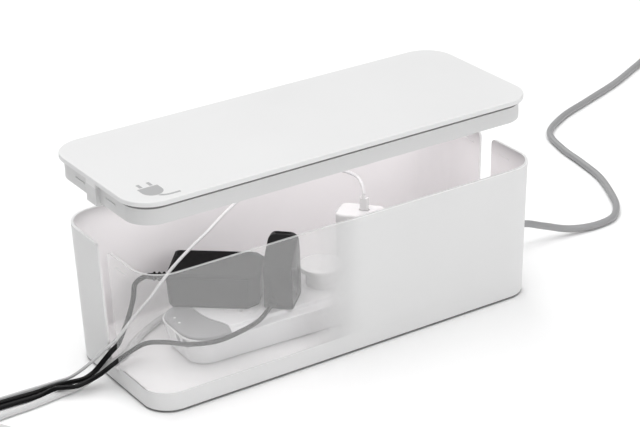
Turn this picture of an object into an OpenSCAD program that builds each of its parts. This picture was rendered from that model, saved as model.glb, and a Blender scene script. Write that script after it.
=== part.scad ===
// Cable management box: a lidded tub with a cable slot in each end, holding a
// power strip, two black adapters, a white charger, a white plug and their leads.
// Millimetres, +Z up. The origin is under the middle of the box, on the surface
// that it stands on, and +X runs along its length.

/* [Tub] */
// Length over the rim
tub_l = 407; // [380:1:440]
// Width over the rim
tub_w = 158; // [150:1:170]
// Height of the rim above the table
rim_z = 132; // [128:1:145]
// Corner radius of the rim, seen from above
corner_r = 29; // [24:1:34]
// How far each side leans in from the rim to the bottom edge
draft = 4.2; // [2:0.2:6]
// Thickness of the walls
wall = 2.4; // [2:0.1:3]
// Height of the inside floor and of the sills of the slots
floor_z = 15; // [14:0.5:16]
// Thickness of the floor plate
floor_t = 2.6; // [2:0.1:3.2]
// Width of the cable slots
slot_w = 18; // [18:1:24]
// Radius that rounds the top corners beside a slot
slot_r = 5; // [3:0.5:6]

/* [Lid] */
// Height of the plate's underside with the lid raised
lid_z = 194.7; // [150:0.1:200]
// How far the raised lid stands to the right of the tub
lid_x = -6; // [-6:0.5:0]
// Thickness of the plate at its edge
lid_t = 4.3; // [3.6:0.1:5]
// Depth of the skirt below the plate
skirt_h = 18; // [14:1:20]
// Thickness of the skirt
skirt_t = 2.2; // [1.8:0.1:2.8]
// Room between the skirt and the tub's walls at the rim
skirt_gap = 1.9; // [1.8:0.1:2.4]
// Depth of the tabs that close the tops of the slots
tab_h = 20; // [17:1:22]

/* [Power strip] */
// Length of the strip
strip_l = 282; // [280:1:284]
// Width of the strip over its top edge
strip_w = 76; // [72:1:78]
// Height of the strip at its edge
strip_h = 25; // [24:0.5:26]
// Height that its socket field stands above the edge
field_h = 4; // [3.6:0.1:4]
// How far the strip is turned in the box, in degrees
strip_turn = -2.7; // [-4:0.1:-2]
// Distance between two sockets
socket_pitch = 41; // [40:0.5:42]
// Turn of the sockets' slots, in degrees
socket_turn = -42; // [-44:1:-40]

/* [Cords] */
// Diameter of the mains lead
mains_d = 7; // [6:0.5:7]
// Diameter of the white appliance lead
white_d = 6.2; // [5.4:0.2:6.2]
// Diameter of the brick adapter's lead
lead_a_d = 4.6; // [4:0.2:4.6]
// Diameter of the upright adapter's lead
lead_b_d = 4.2; // [3.6:0.2:4.2]
// Diameter of the charging cable
usb_d = 3.4; // [3:0.2:3.4]

/* [Hidden] */
$fn = 64;
foot_h = 1.5;
slope = draft / (rim_z - foot_h);
floor_half = [tub_l/2 - slope*(rim_z - floor_z) - wall, tub_w/2 - slope*(rim_z - floor_z) - wall];
skirt_l = tub_l - 2*(wall + skirt_gap);
skirt_w = tub_w - 2*(wall + skirt_gap);
skirt_r = corner_r - wall - skirt_gap;

// Snap ribs: two at each end, on the tub and on the lid
rib_y = 27;
rib_len = 18;
rib_h = 1.8;
rib_proud = 0.5;
lid_rib_proud = 0.3;
tub_rib_drop = 12.3;
lid_rib_drop = 15;

// Feet
foot_at = [[-168, -50], [-168, 50], [168, -50], [168, 50], [0, 0]];
foot_d = 14;

// The strip's middle, and its height levels above the tub's floor
strip_at = [-6, -17];
split_h = 10;
top_h = strip_h + field_h;
shell_t = 2.2;
sockets = [for (i = [0:4]) -72 + socket_pitch*i];
field_l = strip_l - 16;
field_w = strip_w - 16;
rocker_x = 119.5;
rocker_tilt = 8;
pivot_r = 1.5;
gland_y = 16;
screw_at = [[-110.5, -22], [-110.5, 22], [110.5, -22], [110.5, 22]];

// The panel at the strip's left end: its right edge, its pegs and lamps, and the jacks below it
panel_edge = [[-160, -50], [-101.5, -50], [-101.5, -34.7], [-99.4, -29], [-99.6, -22.5],
    [-102, -15.5], [-107, -4.5], [-109.4, 6.8], [-109.7, 20], [-109.7, 50], [-160, 50]];
peg_at = [[-129, -14], [-129, 22], [-119, -25]];
lamp_at = [[-131.6, 14], [-132.2, 3.6]];
jack_at = [-8, -19.6];
jack_z = 20.4;
panel_top = 28.6;
deck = floor_z + top_h + 0.3; // what is plugged in stands this high
blade_gap = 12.7;
blade_l = 17;

// Brick adapter: its front left corner at the ridge, its turn and size
brick_at = [-134, 22];
brick_turn = -40;
brick = [83, 54];
brick_ridge = 74;
brick_top = 77;
brick_relief_y = 26.5;
brick_relief_z = 62;

// Upright adapter
upright_at = [-64.4, -28.2];
upright_turn = -46;
upright = [26.3, 35];
upright_ridge = 85;
upright_top = 106;
upright_relief_x = 8.5;
upright_relief_z = 51.5;

// White charger
charger_at = [23.5, -9.5];
charger_turn = -50;
charger = [42, 28];
charger_top = 104;
usb_local = [24.2, 15.6];
usb_plug_h = 15;

// White plug
plug_neck_r = 14.5;
plug_r = 20;
plug_top = 63.5;
plug_head_h = 4.5;
plug_turn = 110;

// Routes of the cords, each from where it leaves its piece to where it meets its coil
lead_a_route = [[-118, 43, 62], [-134, 56.5, 62], [-145, 58, 57], [-151, 51, 49],
    [-158, 44, 42], [-168, 35, 34], [-180, 22.5, 30.5], [-190, 11, 30.2], [-199, 5.2, 29.4],
    [-208, 4.8, 22.6], [-218, 4.8, 14.8], [-227, 5.6, 11.2], [-235, 9.5, 9.4], [-242, 17, 5.8],
    [-252, 22.8, 2.8], [-264, 23, 2.4], [-300, 25, 2.4], [-385, 22, 2.4], [-428, 22, 2.4]];
lead_b_route = [[-57.9, -33.7, 51.5], [-66.5, -41.5, 50.4], [-82, -49.5, 46.5],
    [-103, -54, 44.5], [-128, -55, 43], [-148, -42, 40.5], [-159, -19, 36], [-171, -5, 32.5],
    [-185, -3.4, 28.5], [-198, -4.5, 24.5], [-206, -5, 21.5], [-216, -3.6, 16], [-226, -1.2, 11.8],
    [-236, 0.4, 9.4], [-245.5, 4, 9.4], [-252, 8.4, 8.8], [-259, 12.8, 5.4], [-268, 14.8, 3.1],
    [-300, 17.6, 2.2], [-385, 14.2, 2.2], [-428, 14, 2.2]];
usb_route = [[51, -18, 119], [53, -12, 125.5], [57, 5, 128], [44, 31, 128.5], [0, 43, 127],
    [-35, 38, 123.5], [-62, 29, 118], [-89, 21, 107], [-109, 20, 95.5], [-129, 20, 81],
    [-150, 19, 62], [-170, 17, 48], [-184, 12, 40.5], [-194, 7.4, 37], [-204, 6.4, 33],
    [-217, 8.4, 23.6], [-234, 16.4, 10.6], [-247, 26.5, 4.4], [-262, 31, 2], [-284, 32, 1.9],
    [-318, 33, 1.9], [-352, 34, 1.9]];
white_route = [[-8, 16, 54], [-14, 32, 50.5], [-24, 46, 39], [-40, 54, 26], [-64, 58, 18.4],
    [-90, 58.5, 18.3], [-115, 55, 18.3], [-140, 44, 18.3], [-164, 28, 18.6], [-184, 11.4, 18.6],
    [-196, 5.6, 18.6], [-203, 5.6, 18.3], [-211, 7.4, 13.4], [-219, 9.2, 6.8], [-230, 8.8, 3.6], [-246, 7.4, 3.2],
    [-262, 5.6, 3.2], [-281, 3.6, 3.2], [-304, 3, 3.2], [-328, -0.4, 3.2], [-352, -5, 3.2]];
mains_route = [[150, -8.3, 29.5], [166, -9, 29.5], [184, -6.5, 29], [203, -1, 28], [228, 3, 27],
    [252, 6, 24.5], [277, 5, 15.5], [305, 0, 6.5], [336, -4, 3.6], [360, 0, 3.6], [380, 17.6, 3.6],
    [397, 46, 3.6], [414, 85, 3.6], [423, 125, 3.6], [430, 164, 3.6], [446, 206, 3.6],
    [486, 234, 3.6], [540, 255, 3.6], [600, 278, 3.6], [653, 304, 3.6], [700, 327, 3.6],
    [741, 336, 3.6]];

// Coils: centre, and the radii of the innermost and outermost turns
lead_a_coil = [[-428, 54.8], 17.2, 32.8];
lead_b_coil = [[-428, -15.9], 16.1, 29.9];
usb_coil = [[-352, 57], 15, 23];
white_coil = [[-352, -48], 25, 43];
mains_coil = [[741, 289.8], 29.8, 46.2];

// Tails: from the coil's outermost turn to the plug
lead_a_tail = [[-428, 87.6, 6], [-414, 89, 4.8], [-404, 89, 4.6]];
lead_b_tail = [[-457.9, -16, 6], [-459, -30, 4.8], [-459, -40, 4.6]];
usb_tail = [[-352, 80, 5], [-342, 81, 3.6], [-334, 81, 3.4]];
white_tail = [[-352, -91, 9], [-338, -93, 6.5], [-322, -93, 5.5]];
mains_tail = [[741, 243.6, 11], [726, 242, 12], [712, 242, 13]];

// ---- Shared shapes ----

// A rectangle with round corners, l along X and w along Y
module round_rect(l, w, r) {
    square([l - 2*r, w], center = true);
    square([l, w - 2*r], center = true);
    for (sx = [-1, 1], sy = [-1, 1])
        translate([sx*(l/2 - r), sy*(w/2 - r)]) circle(r);
}

module slab(l, w, r, h) {
    linear_extrude(h) round_rect(l, w, r);
}

// A slab whose sides lean out going up: l, w and r at the top, d less all round at the bottom
module leaning_slab(l, w, r, d, h) {
    rotate([90, 0, 0]) linear_extrude(w - 2*r, center = true)
        polygon([[-l/2 + d, 0], [l/2 - d, 0], [l/2, h], [-l/2, h]]);
    rotate([90, 0, 90]) linear_extrude(l - 2*r, center = true)
        polygon([[-w/2 + d, 0], [w/2 - d, 0], [w/2, h], [-w/2, h]]);
    for (sx = [-1, 1], sy = [-1, 1])
        translate([sx*(l/2 - r), sy*(w/2 - r), 0]) cylinder(h = h, r1 = r - d, r2 = r);
}

module block(x0, x1, y0, y1, z0, z1) {
    translate([x0, y0, z0]) cube([x1 - x0, y1 - y0, z1 - z0]);
}

// A bar with round ends, standing along Z
module bar(l, w, h) {
    linear_extrude(h) {
        square([l - w, w], center = true);
        for (s = [-1, 1]) translate([s*(l - w)/2, 0]) circle(w/2);
    }
}

module at_strip() {
    translate([strip_at[0], strip_at[1], floor_z]) rotate(strip_turn) children();
}

// At socket n of the strip, on its face, turned as its slots are
module at_socket(n) {
    at_strip() translate([sockets[n], 0, 0]) rotate(socket_turn - strip_turn) children();
}

module at_brick() {
    translate([brick_at[0], brick_at[1], 0]) rotate(brick_turn) children();
}

module at_upright() {
    translate([upright_at[0], upright_at[1], 0]) rotate(upright_turn) children();
}

module at_charger() {
    translate([charger_at[0], charger_at[1], 0]) rotate(charger_turn) children();
}

// Two flat blades that hang down from a face at height deck
module blades(n) {
    at_socket(n) for (s = [-1, 1])
        block(s*blade_gap/2 - 0.75, s*blade_gap/2 + 0.75, -3.1, 3.1,
            deck - floor_z - blade_l, deck - floor_z + 2.6);
}

// ---- Tubes along a route ----

function unit(v) = v / norm(v);
function last(p) = len(p) - 1;
function heading(p, i) = unit(p[min(i + 1, last(p))] - p[max(i - 1, 0)]);
// Sideways directions along a route, each carried on from the one before
function carried(p, i, side) = i > last(p) ? [] :
    let (t = heading(p, i), s = unit(side - t*(side*t)))
    concat([[s, cross(t, s)]], carried(p, i + 1, s));
// Corner points of all the rings of a tube of n sides
function rings(p, r, n) =
    let (f = carried(p, 0, unit(cross(heading(p, 0), [0.1, 0.9, 0.2]))))
    [for (i = [0:last(p)], k = [0:n - 1])
        p[i] + r*(cos(360*k/n)*f[i][0] + sin(360*k/n)*f[i][1])];

module tube(p, d, n = 8) {
    polyhedron(
        points = rings(p, d/2, n),
        faces = concat(
            [[for (k = [0:n - 1]) k]],
            [for (i = [0:last(p) - 1], k = [0:n - 1])
                [i*n + k, (i + 1)*n + k, (i + 1)*n + (k + 1)%n, i*n + (k + 1)%n]],
            [[for (k = [n - 1:-1:0]) last(p)*n + k]]));
}

// The outer shape of a round coil two layers high
module coil(c, d) {
    translate([c[0][0], c[0][1], 0]) rotate_extrude()
        translate([c[1] - d/2 - 0.3, 0]) square([c[2] - c[1] + d + 0.6, 2*d + 0.4]);
}

// ---- Box ----

module tub_shell() {
    rise = rim_z - foot_h;
    extra = 2;
    in_h = rim_z - floor_z;
    difference() {
        translate([0, 0, foot_h]) leaning_slab(tub_l, tub_w, corner_r, draft, rise);
        // Inside, open at the top
        translate([0, 0, floor_z])
            leaning_slab(tub_l - 2*wall + 2*slope*extra, tub_w - 2*wall + 2*slope*extra,
                corner_r - wall + slope*extra, slope*(in_h + extra), in_h + extra);
        // Hollow under the floor
        translate([0, 0, foot_h - 1])
            slab(tub_l - 2*draft - 2*wall, tub_w - 2*draft - 2*wall,
                corner_r - draft - wall, floor_z - floor_t - foot_h + 1);
        // Cable slots
        for (s = [-1, 1]) scale([s, 1, 1]) translate([tub_l/2 - 20, 0, 0]) slot_cut(30);
    }
}

// A slot with its round shoulders, cut along +X
module slot_cut(depth) {
    rotate([90, 0, 90]) linear_extrude(depth) {
        translate([-slot_w/2, floor_z]) square([slot_w, rim_z]);
        difference() {
            translate([-slot_w/2 - slot_r, rim_z - slot_r]) square([slot_w + 2*slot_r, 20]);
            for (s = [-1, 1]) translate([s*(slot_w/2 + slot_r), rim_z - slot_r]) circle(slot_r);
        }
    }
}

module tub() {
    under = floor_z - floor_t;
    rib_bottom = under - 3;
    in_x = tub_l/2 - wall - slope*tub_rib_drop;
    color("whitesmoke") {
        difference() {
            union() {
                tub_shell();
                // Stiffening ribs under the floor
                for (x = [-120, -60, 60, 120])
                    block(x - 1, x + 1, -73.5, 73.5, rib_bottom, under + 1);
                for (y = [-26, 26])
                    block(-198, 198, y - 1, y + 1, rib_bottom, under + 1);
                for (p = foot_at) translate([p[0], p[1], foot_h])
                    cylinder(h = under + 1 - foot_h, d = foot_d + 4);
            }
            for (p = foot_at) translate([p[0], p[1], foot_h - 1])
                cylinder(h = 2.6, d = foot_d + 0.2);
        }
        // Snap ribs inside the ends
        for (s = [-1, 1], y = [-rib_y, rib_y]) scale([s, 1, 1])
            block(in_x - rib_proud, in_x + 1, y - rib_len/2, y + rib_len/2,
                rim_z - tub_rib_drop - rib_h/2, rim_z - tub_rib_drop + rib_h/2);
    }
}

module rubber_feet() {
    color("dimgray") for (p = foot_at) translate([p[0], p[1], 0]) {
        cylinder(h = 3, d = foot_d);
    }
}

module lid() {
    edge = 0.9;
    pocket = 1.8;
    inner = 2*skirt_t;
    color("white") translate([lid_x, 0, lid_z]) {
        difference() {
            union() {
                slab(tub_l, tub_w, corner_r, lid_t - edge);
                translate([0, 0, lid_t - edge])
                    leaning_slab(tub_l - 2*edge, tub_w - 2*edge, corner_r - edge, -edge, edge);
                translate([0, 0, -skirt_h]) slab(skirt_l, skirt_w, skirt_r, skirt_h + 1);
                // Tabs that fill the tops of the slots, flush with the tub's ends
                for (s = [-1, 1]) scale([s, 1, 1])
                    block(skirt_l/2 - skirt_t, tub_l/2 - 0.2, 0.6 - slot_w/2, slot_w/2 - 0.6,
                        -tab_h, 1);
            }
            translate([0, 0, -tab_h - 1])
                slab(skirt_l - inner, skirt_w - inner, skirt_r - skirt_t, tab_h + 1 + pocket);
        }
        for (s = [-1, 1], y = [-rib_y, rib_y]) scale([s, 1, 1])
            block(skirt_l/2 - 1, skirt_l/2 + lid_rib_proud, y - rib_len/2, y + rib_len/2,
                -lid_rib_drop - rib_h/2, -lid_rib_drop + rib_h/2);
    }
}

// ---- Power strip ----

strip_lean = 6;
strip_r = 24;

// The strip's outer or inner form, t inside its surface
module strip_form(t) {
    translate([0, 0, t]) leaning_slab(strip_l - 2*t, strip_w - 2*t, strip_r - t,
        strip_lean, strip_h - 2*t);
}

// Room for the mains lead where it comes in, half in the base and half in the cover
module gland_hole() {
    translate([strip_l/2 - 12, gland_y, top_h/2]) rotate([0, 90, 0]) cylinder(h = 20, r = 5.2);
}

module strip_base() {
    color("white") at_strip() difference() {
        intersection() {
            translate([0, 0, 1]) strip_form(0);
            block(-150, 150, -50, 50, 1, split_h);
        }
        strip_form(shell_t + 1);
        gland_hole();
        for (p = screw_at) translate([p[0], p[1], 0]) {
            cylinder(h = 8, d = 3.2);
            cylinder(h = 2.2, d = 6.2);
        }
    }
    color("white") at_strip() for (p = screw_at) translate([p[0], p[1], 2.4]) difference() {
        cylinder(h = split_h - 2.4, d = 7);
        translate([0, 0, -1]) cylinder(h = split_h, d = 3.2);
    }
}

module strip_cover() {
    color("white") at_strip() difference() {
        union() {
            intersection() {
                translate([0, 0, 1]) strip_form(0);
                block(-150, 150, -50, 50, split_h, strip_h + 1);
            }
            // The raised field that holds the sockets
            difference() {
                translate([0, 0, strip_h])
                    leaning_slab(field_l - 2*field_h, field_w - 2*field_h, strip_r - 10,
                        -field_h + 0.5, field_h);
                translate([0.4, 0, strip_h + 1]) linear_extrude(10) polygon(panel_edge);
            }
        }
        strip_form(shell_t + 1);
        block(-94, field_l/2 - 12, -21, 21, 10, top_h - shell_t);
        for (p = peg_at) block(p[0] - 1.65, p[0] + 1.65, p[1] - 1.65, p[1] + 1.65, 20, 30);
        for (y = jack_at) translate([-150, y, jack_z]) jack_bar(6.6, 8.6, 34);
        for (x = sockets) translate([x, 0, 10]) rotate(socket_turn - strip_turn)
            linear_extrude(30) round_rect(31.4, 25.4, 6);
        block(rocker_x - 8.2, rocker_x + 8.2, -12.4, 12.4, 10, 40);
        gland_hole();
    }
    // Posts that the screws hold
    color("white") at_strip() for (p = screw_at) translate([p[0], p[1], split_h + 0.1]) difference() {
        cylinder(h = strip_h - split_h - 1, d = 7);
        translate([0, 0, -1]) cylinder(h = 9, d = 2.9);
    }
}

// A bar with a long round section, lying along X
module jack_bar(w, h, l) {
    rotate([0, 90, 0]) bar(h, w, l);
}

module strip_end_panel() {
    base = strip_h + 1.05;
    rise = panel_top - base;
    color("silver") at_strip() difference() {
        union() {
            intersection() {
                translate([0, 0, base])
                    leaning_slab(strip_l - 9, strip_w - 12, 21, -rise, rise);
                linear_extrude(40) polygon(panel_edge);
            }
            for (p = peg_at) block(p[0] - 1.5, p[0] + 1.5, p[1] - 1.5, p[1] + 1.5, 21, base + 1);
        }
        for (p = lamp_at) translate([p[0], p[1], 20]) cylinder(h = 12, d = 2.6);
    }
}

module panel_lamps() {
    color("ghostwhite") at_strip() for (p = lamp_at) translate([p[0], p[1], strip_h + 1.05])
        cylinder(h = panel_top - strip_h - 0.9, d = 2.4);
}

// Two sockets for other lines, in the strip's left end
module line_jacks() {
    color("dimgray") at_strip() for (y = jack_at) translate([-137.6, y, jack_z]) difference() {
        jack_bar(6.4, 8.4, 14);
        translate([-1, 0, 0]) jack_bar(4.8, 6.8, 11);
    }
}

module socket_inserts() {
    color("ghostwhite") for (n = [0:4]) at_socket(n) difference() {
        translate([0, 0, top_h - 9]) slab(31, 25, 5.8, 9.1);
        for (s = [-1, 1])
            block(s*blade_gap/2 - 1.1, s*blade_gap/2 + 1.1, -4, 4, top_h - 12, top_h + 2);
        translate([0, -8, top_h - 12]) cylinder(h = 16, r = 2.6);
    }
}

// A contact rail: a bar along the strip with a spring cup under every socket's slot
module rail(side, z) {
    dx = side*blade_gap/2*cos(socket_turn - strip_turn);
    dy = side*blade_gap/2*sin(socket_turn - strip_turn);
    bar_y = dy - side*7.6;
    at_strip() {
        block(-91.5, 102.5, bar_y - 1.6, bar_y + 1.6, z, z + 0.8);
        for (x = sockets) {
            block(x + dx - 2.5, x + dx + 2.5, min(dy, bar_y), max(dy, bar_y), z, z + 0.8);
            for (s = [-1, 1]) translate([x + dx, dy, z]) rotate(socket_turn - strip_turn)
                block(s*1.7 - 0.4, s*1.7 + 0.4, -3, 3, 0, 6);
        }
    }
}

module live_rail() {
    color("goldenrod") rail(-1, 11.2);
}

module neutral_rail() {
    color("goldenrod") rail(1, 11.2);
}

module earth_rail() {
    color("goldenrod") at_strip() {
        block(-91.5, 102.5, -4, 4, 6.4, 7.2);
        // Rings under the sockets' round holes
        for (x = sockets) translate([x, 0, 7.2]) rotate(socket_turn - strip_turn)
            translate([0, -8, 0]) difference() {
                cylinder(h = 10, r = 3.3);
                translate([0, 0, 1]) cylinder(h = 10, r = 2.5);
            }
    }
}

module rocker_frame() {
    color("dimgray") at_strip() translate([rocker_x, 0, 0]) difference() {
        union() {
            block(-8, 8, -12.2, 12.2, top_h - 9, top_h + 0.4);
            translate([0, 0, top_h + 0.1]) slab(17.6, 26, 2, 1.2);
        }
        block(-6.5, 6.5, -10.7, 10.7, top_h - 7.8, top_h + 3);
        translate([-9, 0, top_h - 2]) rotate([0, 90, 0]) cylinder(h = 18, r = pivot_r + 0.05);
    }
}

module rocker() {
    half = 9.6;
    color("firebrick") at_strip() translate([rocker_x, 0, top_h - 2]) {
        rotate([rocker_tilt, 0, 0]) rotate([90, 0, 90]) linear_extrude(12, center = true)
            polygon([[-half, 4.6], [0, 3.2], [half, 4.6], [half, 1], [5, -3.4], [-5, -3.4], [-half, 1]]);
        rotate([0, 90, 0]) cylinder(h = 15.2, r = pivot_r, center = true);
    }
}

module cord_clamp() {
    color("gainsboro") at_strip() translate([strip_l/2 - 14, gland_y, 0]) difference() {
        block(-3.2, 3.2, -7, 5, 5, 19.6);
        translate([-6, 0, top_h/2]) rotate([0, 90, 0]) cylinder(h = 12, d = mains_d + 0.1);
    }
}

module strip_screws() {
    color("silver") at_strip() for (p = screw_at) translate([p[0], p[1], 1.1]) difference() {
        union() {
            cylinder(h = 12, d = 2.9);
            cylinder(h = 1.1, d = 5.6);
        }
        translate([-0.4, -2, -1]) cube([0.8, 4, 1.8]);
    }
}

module strip_pads() {
    color("dimgray") at_strip() for (x = [-112, 112], y = [-18, 18])
        translate([x, y, 0]) cylinder(h = 1, d = 9);
}

module mains_relief() {
    color("darkgray") at_strip() translate([strip_l/2 - 8, gland_y, top_h/2]) rotate([0, 90, 0])
        difference() {
            union() {
                cylinder(h = 8, r = 5);
                translate([0, 0, 8]) cylinder(h = 22.3, r1 = 5.6, r2 = 4.3);
                for (i = [0:3]) translate([0, 0, 11 + 4.4*i]) cylinder(h = 1.8, r = 5.9 - 0.3*i);
            }
            translate([0, 0, -1]) cylinder(h = 40, d = mains_d + 0.1);
        }
}

// ---- Brick adapter ----

// Its outline at height z: t inside, with the right-hand corners cut off
module brick_slice(z, t, h = 0.2) {
    cut = 9;
    translate([0, 0, z]) linear_extrude(h) polygon([[t + 3, t], [brick[0] - t - cut, t],
        [brick[0] - t, t + cut], [brick[0] - t, brick[1] - t - cut],
        [brick[0] - t - cut, brick[1] - t], [t + 3, brick[1] - t], [t, brick[1] - t - 3],
        [t, t + 3]]);
}

module brick_base() {
    color("#161616") at_brick() difference() {
        hull() {
            brick_slice(deck, 2.8);
            brick_slice(deck + 3, 1.6);
            brick_slice(brick_ridge - 0.2, 0);
        }
        hull() {
            brick_slice(deck + 2, 5);
            brick_slice(brick_ridge + 1, 2.2);
        }
        // Half of the seat of the strain relief
        translate([-5, brick_relief_y, brick_relief_z]) rotate([0, 90, 0]) cylinder(h = 10, r = 3.2);
    }
}

module brick_cover() {
    color("#161616") at_brick() difference() {
        hull() {
            brick_slice(brick_ridge + 0.1, 0);
            brick_slice(brick_ridge + 1.6, 0.6);
            brick_slice(brick_top - 0.2, 3.4);
        }
        hull() {
            brick_slice(brick_ridge - 1, 2.2);
            brick_slice(brick_top - 2.2, 4.6);
        }
    }
}

module brick_blades() {
    color("silver") blades(0);
}

module brick_board() {
    color("darkgreen") at_brick() block(8, 69, 8, 46, deck + 6, deck + 7.6);
}

module brick_transformer() {
    color("peru") at_brick() {
        block(20, 42, 18, 40, deck + 7.6, deck + 22);
        for (y = [14, 40]) block(24, 38, y, y + 4, deck + 8.6, deck + 20);
        for (x = [52, 64]) translate([x, 32, deck + 7.6]) cylinder(h = 16, d = 9);
    }
}

// A tapering sleeve that stands along Z, with ribs above the wall that it passes through
module relief(l, r1, r2, bore, count) {
    inside = 3;
    pitch = (l - inside)*0.85/count;
    difference() {
        union() {
            cylinder(h = l, r1 = r1, r2 = r2);
            for (i = [0:count - 1]) translate([0, 0, inside + i*pitch])
                cylinder(h = pitch*0.55, r = r1 + 0.9 - (r1 - r2)*i/count);
        }
        translate([0, 0, l*0.2]) cylinder(h = l, d = bore);
    }
}

module brick_relief() {
    color("#161616") at_brick() translate([2.6, brick_relief_y, brick_relief_z])
        rotate([0, -90, 0]) relief(24, 3.1, 2.7, lead_a_d, 4);
}

// ---- Upright adapter ----

// Side outline, t inside: flat front, sloping shoulder, round top
function upright_side(t, bottom) =
    let (top = upright_top - t, deep = upright[1] - t, r = 4)
    concat([[t, bottom], [t, upright_ridge - t*0.4]],
        [for (a = [140:-20:20]) [deep - 4.5 - r + r*cos(a), top - r + r*sin(a)]],
        [[deep, upright_ridge], [deep, bottom]]);

// Front outline with round top corners, t inside, as a bar along Y
module upright_front(t, bottom) {
    r = 7 - t;
    top = upright_top - t;
    translate([0, 50, 0]) rotate([90, 0, 0]) linear_extrude(60) {
        translate([t, bottom]) square([upright[0] - 2*t, top - r - bottom]);
        translate([t + r, bottom]) square([upright[0] - 2*t - 2*r, top - bottom]);
        for (x = [t + r, upright[0] - t - r]) translate([x, top - r]) circle(r);
    }
}

module upright_body(t, bottom) {
    intersection() {
        rotate([90, 0, 90]) linear_extrude(upright[0]) polygon(upright_side(t, bottom));
        upright_front(t, bottom - 1);
    }
}

module upright_case() {
    color("#1c1c1c") at_upright() difference() {
        upright_body(0, deck + 3);
        upright_body(2.2, deck);
        translate([upright_relief_x, -3, upright_relief_z]) rotate([-90, 0, 0])
            cylinder(h = 12, r = 3.2);
    }
}

module upright_base() {
    color("#1c1c1c") at_upright() {
        block(0, upright[0], 0, upright[1], deck, deck + 2.8);
    }
}

module upright_blades() {
    color("silver") blades(1);
}

module upright_board() {
    color("darkgreen") at_upright() {
        block(4, 5.6, 5, 30, deck + 8, deck + 38);
        block(5.6, 19, 14, 28, deck + 14, deck + 32);
    }
}

module upright_relief() {
    color("#1c1c1c") at_upright() translate([upright_relief_x, 2.6, upright_relief_z])
        rotate([90, 0, 0])
        relief(11, 3.1, 2.7, lead_b_d, 2);
}

// ---- White charger ----

module charger_case() {
    top = charger_top - deck - 3;
    color("white") at_charger() translate([charger[0]/2, charger[1]/2, deck + 3]) difference() {
        union() {
            slab(charger[0], charger[1], 7, top - 2);
            translate([0, 0, top - 2]) leaning_slab(charger[0] - 4, charger[1] - 4, 5, -2, 2);
        }
        translate([0, 0, -1]) slab(charger[0] - 4.4, charger[1] - 4.4, 5, top - 1.6);
        translate([usb_local[0] - charger[0]/2, usb_local[1] - charger[1]/2, top - 5])
            linear_extrude(7) square([8.8, 5.4], center = true);
    }
}

module charger_base() {
    color("white") at_charger() translate([charger[0]/2, charger[1]/2, deck])
        slab(charger[0], charger[1], 7, 2.8);
}

module charger_blades() {
    color("silver") blades(3);
}

module charger_board() {
    color("darkgreen") at_charger() {
        block(6, 36, 5, 6.6, deck + 6, deck + 44);
        block(10, 32, 6.6, 18, deck + 10, deck + 34);
    }
}

module charge_plug() {
    color("white") at_charger() translate([usb_local[0], usb_local[1], charger_top - 4]) {
        slab(8, 4.6, 1.2, 4 + usb_plug_h - 3);
        translate([0, 0, 4 + usb_plug_h - 3]) cylinder(h = 3, r1 = 2.2, r2 = 1.8);
    }
}

// ---- White plug ----

module at_plug() {
    at_socket(2) rotate(plug_turn - socket_turn) children();
}

module white_plug() {
    color("white") at_socket(2) translate([0, 0, deck - floor_z]) {
        cylinder(h = plug_top - deck - 1, r = plug_neck_r);
        // A wide flat head to pull it out by
        translate([0, 0, plug_top - deck - plug_head_h]) cylinder(h = plug_head_h - 1, r = plug_r);
        translate([0, 0, plug_top - deck - 1]) cylinder(h = 1, r1 = plug_r, r2 = plug_r - 1);
    }
}

module white_plug_blades() {
    color("silver") at_socket(2) for (s = [-1, 1])
        block(s*blade_gap/2 - 0.75, s*blade_gap/2 + 0.75, -3.1, 3.1,
            deck - floor_z - blade_l, deck - floor_z);
}

module white_relief() {
    color("white") at_plug() translate([plug_neck_r - 0.3, 0, 54 - floor_z]) rotate([0, 90, 0])
        relief(21, 4.4, 3.6, white_d, 3);
}

// ---- Cords and what is on them ----

module mains_lead() {
    color("gray") {
        tube(mains_route, mains_d);
        tube(mains_tail, mains_d);
    }
}

module mains_coil_turns() {
    color("gray") coil(mains_coil, mains_d);
}

module mains_plug() {
    color("gray") translate([712, 242, 13]) rotate([0, -90, 0]) {
        cylinder(h = 12, r1 = 5, r2 = 8);
        translate([0, 0, 12]) cylinder(h = 22, r = 12.8);
    }
}

module mains_plug_blades() {
    color("silver") translate([712 - 34, 242, 13]) {
        for (s = [-1, 1]) block(-blade_l, 0, s*blade_gap/2 - 0.75, s*blade_gap/2 + 0.75, -1, 5.4);
        translate([0, 0, -7]) rotate([0, -90, 0]) cylinder(h = 19, r = 2.4);
    }
}

module white_lead() {
    color("white") {
        tube(white_route, white_d);
        tube(white_tail, white_d);
    }
}

module white_coil_turns() {
    color("white") coil(white_coil, white_d);
}

// A two-hole appliance connector
module white_connector() {
    color("white") translate([-322, -93, 5.5]) rotate([0, 90, 0]) {
        cylinder(h = 10, r1 = 4, r2 = 5.4);
        translate([0, 0, 10]) difference() {
            rotate(90) bar(17, 10.8, 16);
            for (s = [-1, 1]) translate([0, s*4.3, 6]) cylinder(h = 12, r = 1.3);
        }
    }
}

module brick_lead() {
    color("#161616") {
        tube(lead_a_route, lead_a_d);
        tube(lead_a_tail, lead_a_d);
    }
}

module brick_coil_turns() {
    color("#161616") coil(lead_a_coil, lead_a_d);
}

// A barrel plug that points along +X from the origin
module barrel_plug() {
    rotate([0, 90, 0]) {
        cylinder(h = 8, r1 = 2.6, r2 = 4.4);
        translate([0, 0, 8]) cylinder(h = 13, r = 4.6);
        translate([0, 0, 21]) difference() {
            cylinder(h = 9.5, r = 2.75);
            translate([0, 0, 1]) cylinder(h = 9, r = 1.25);
        }
    }
}

module brick_barrel_plug() {
    color("#161616") translate([-404, 89, 4.6]) barrel_plug();
}

module upright_lead() {
    color("#1c1c1c") {
        tube(lead_b_route, lead_b_d);
        tube(lead_b_tail, lead_b_d);
    }
}

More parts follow.
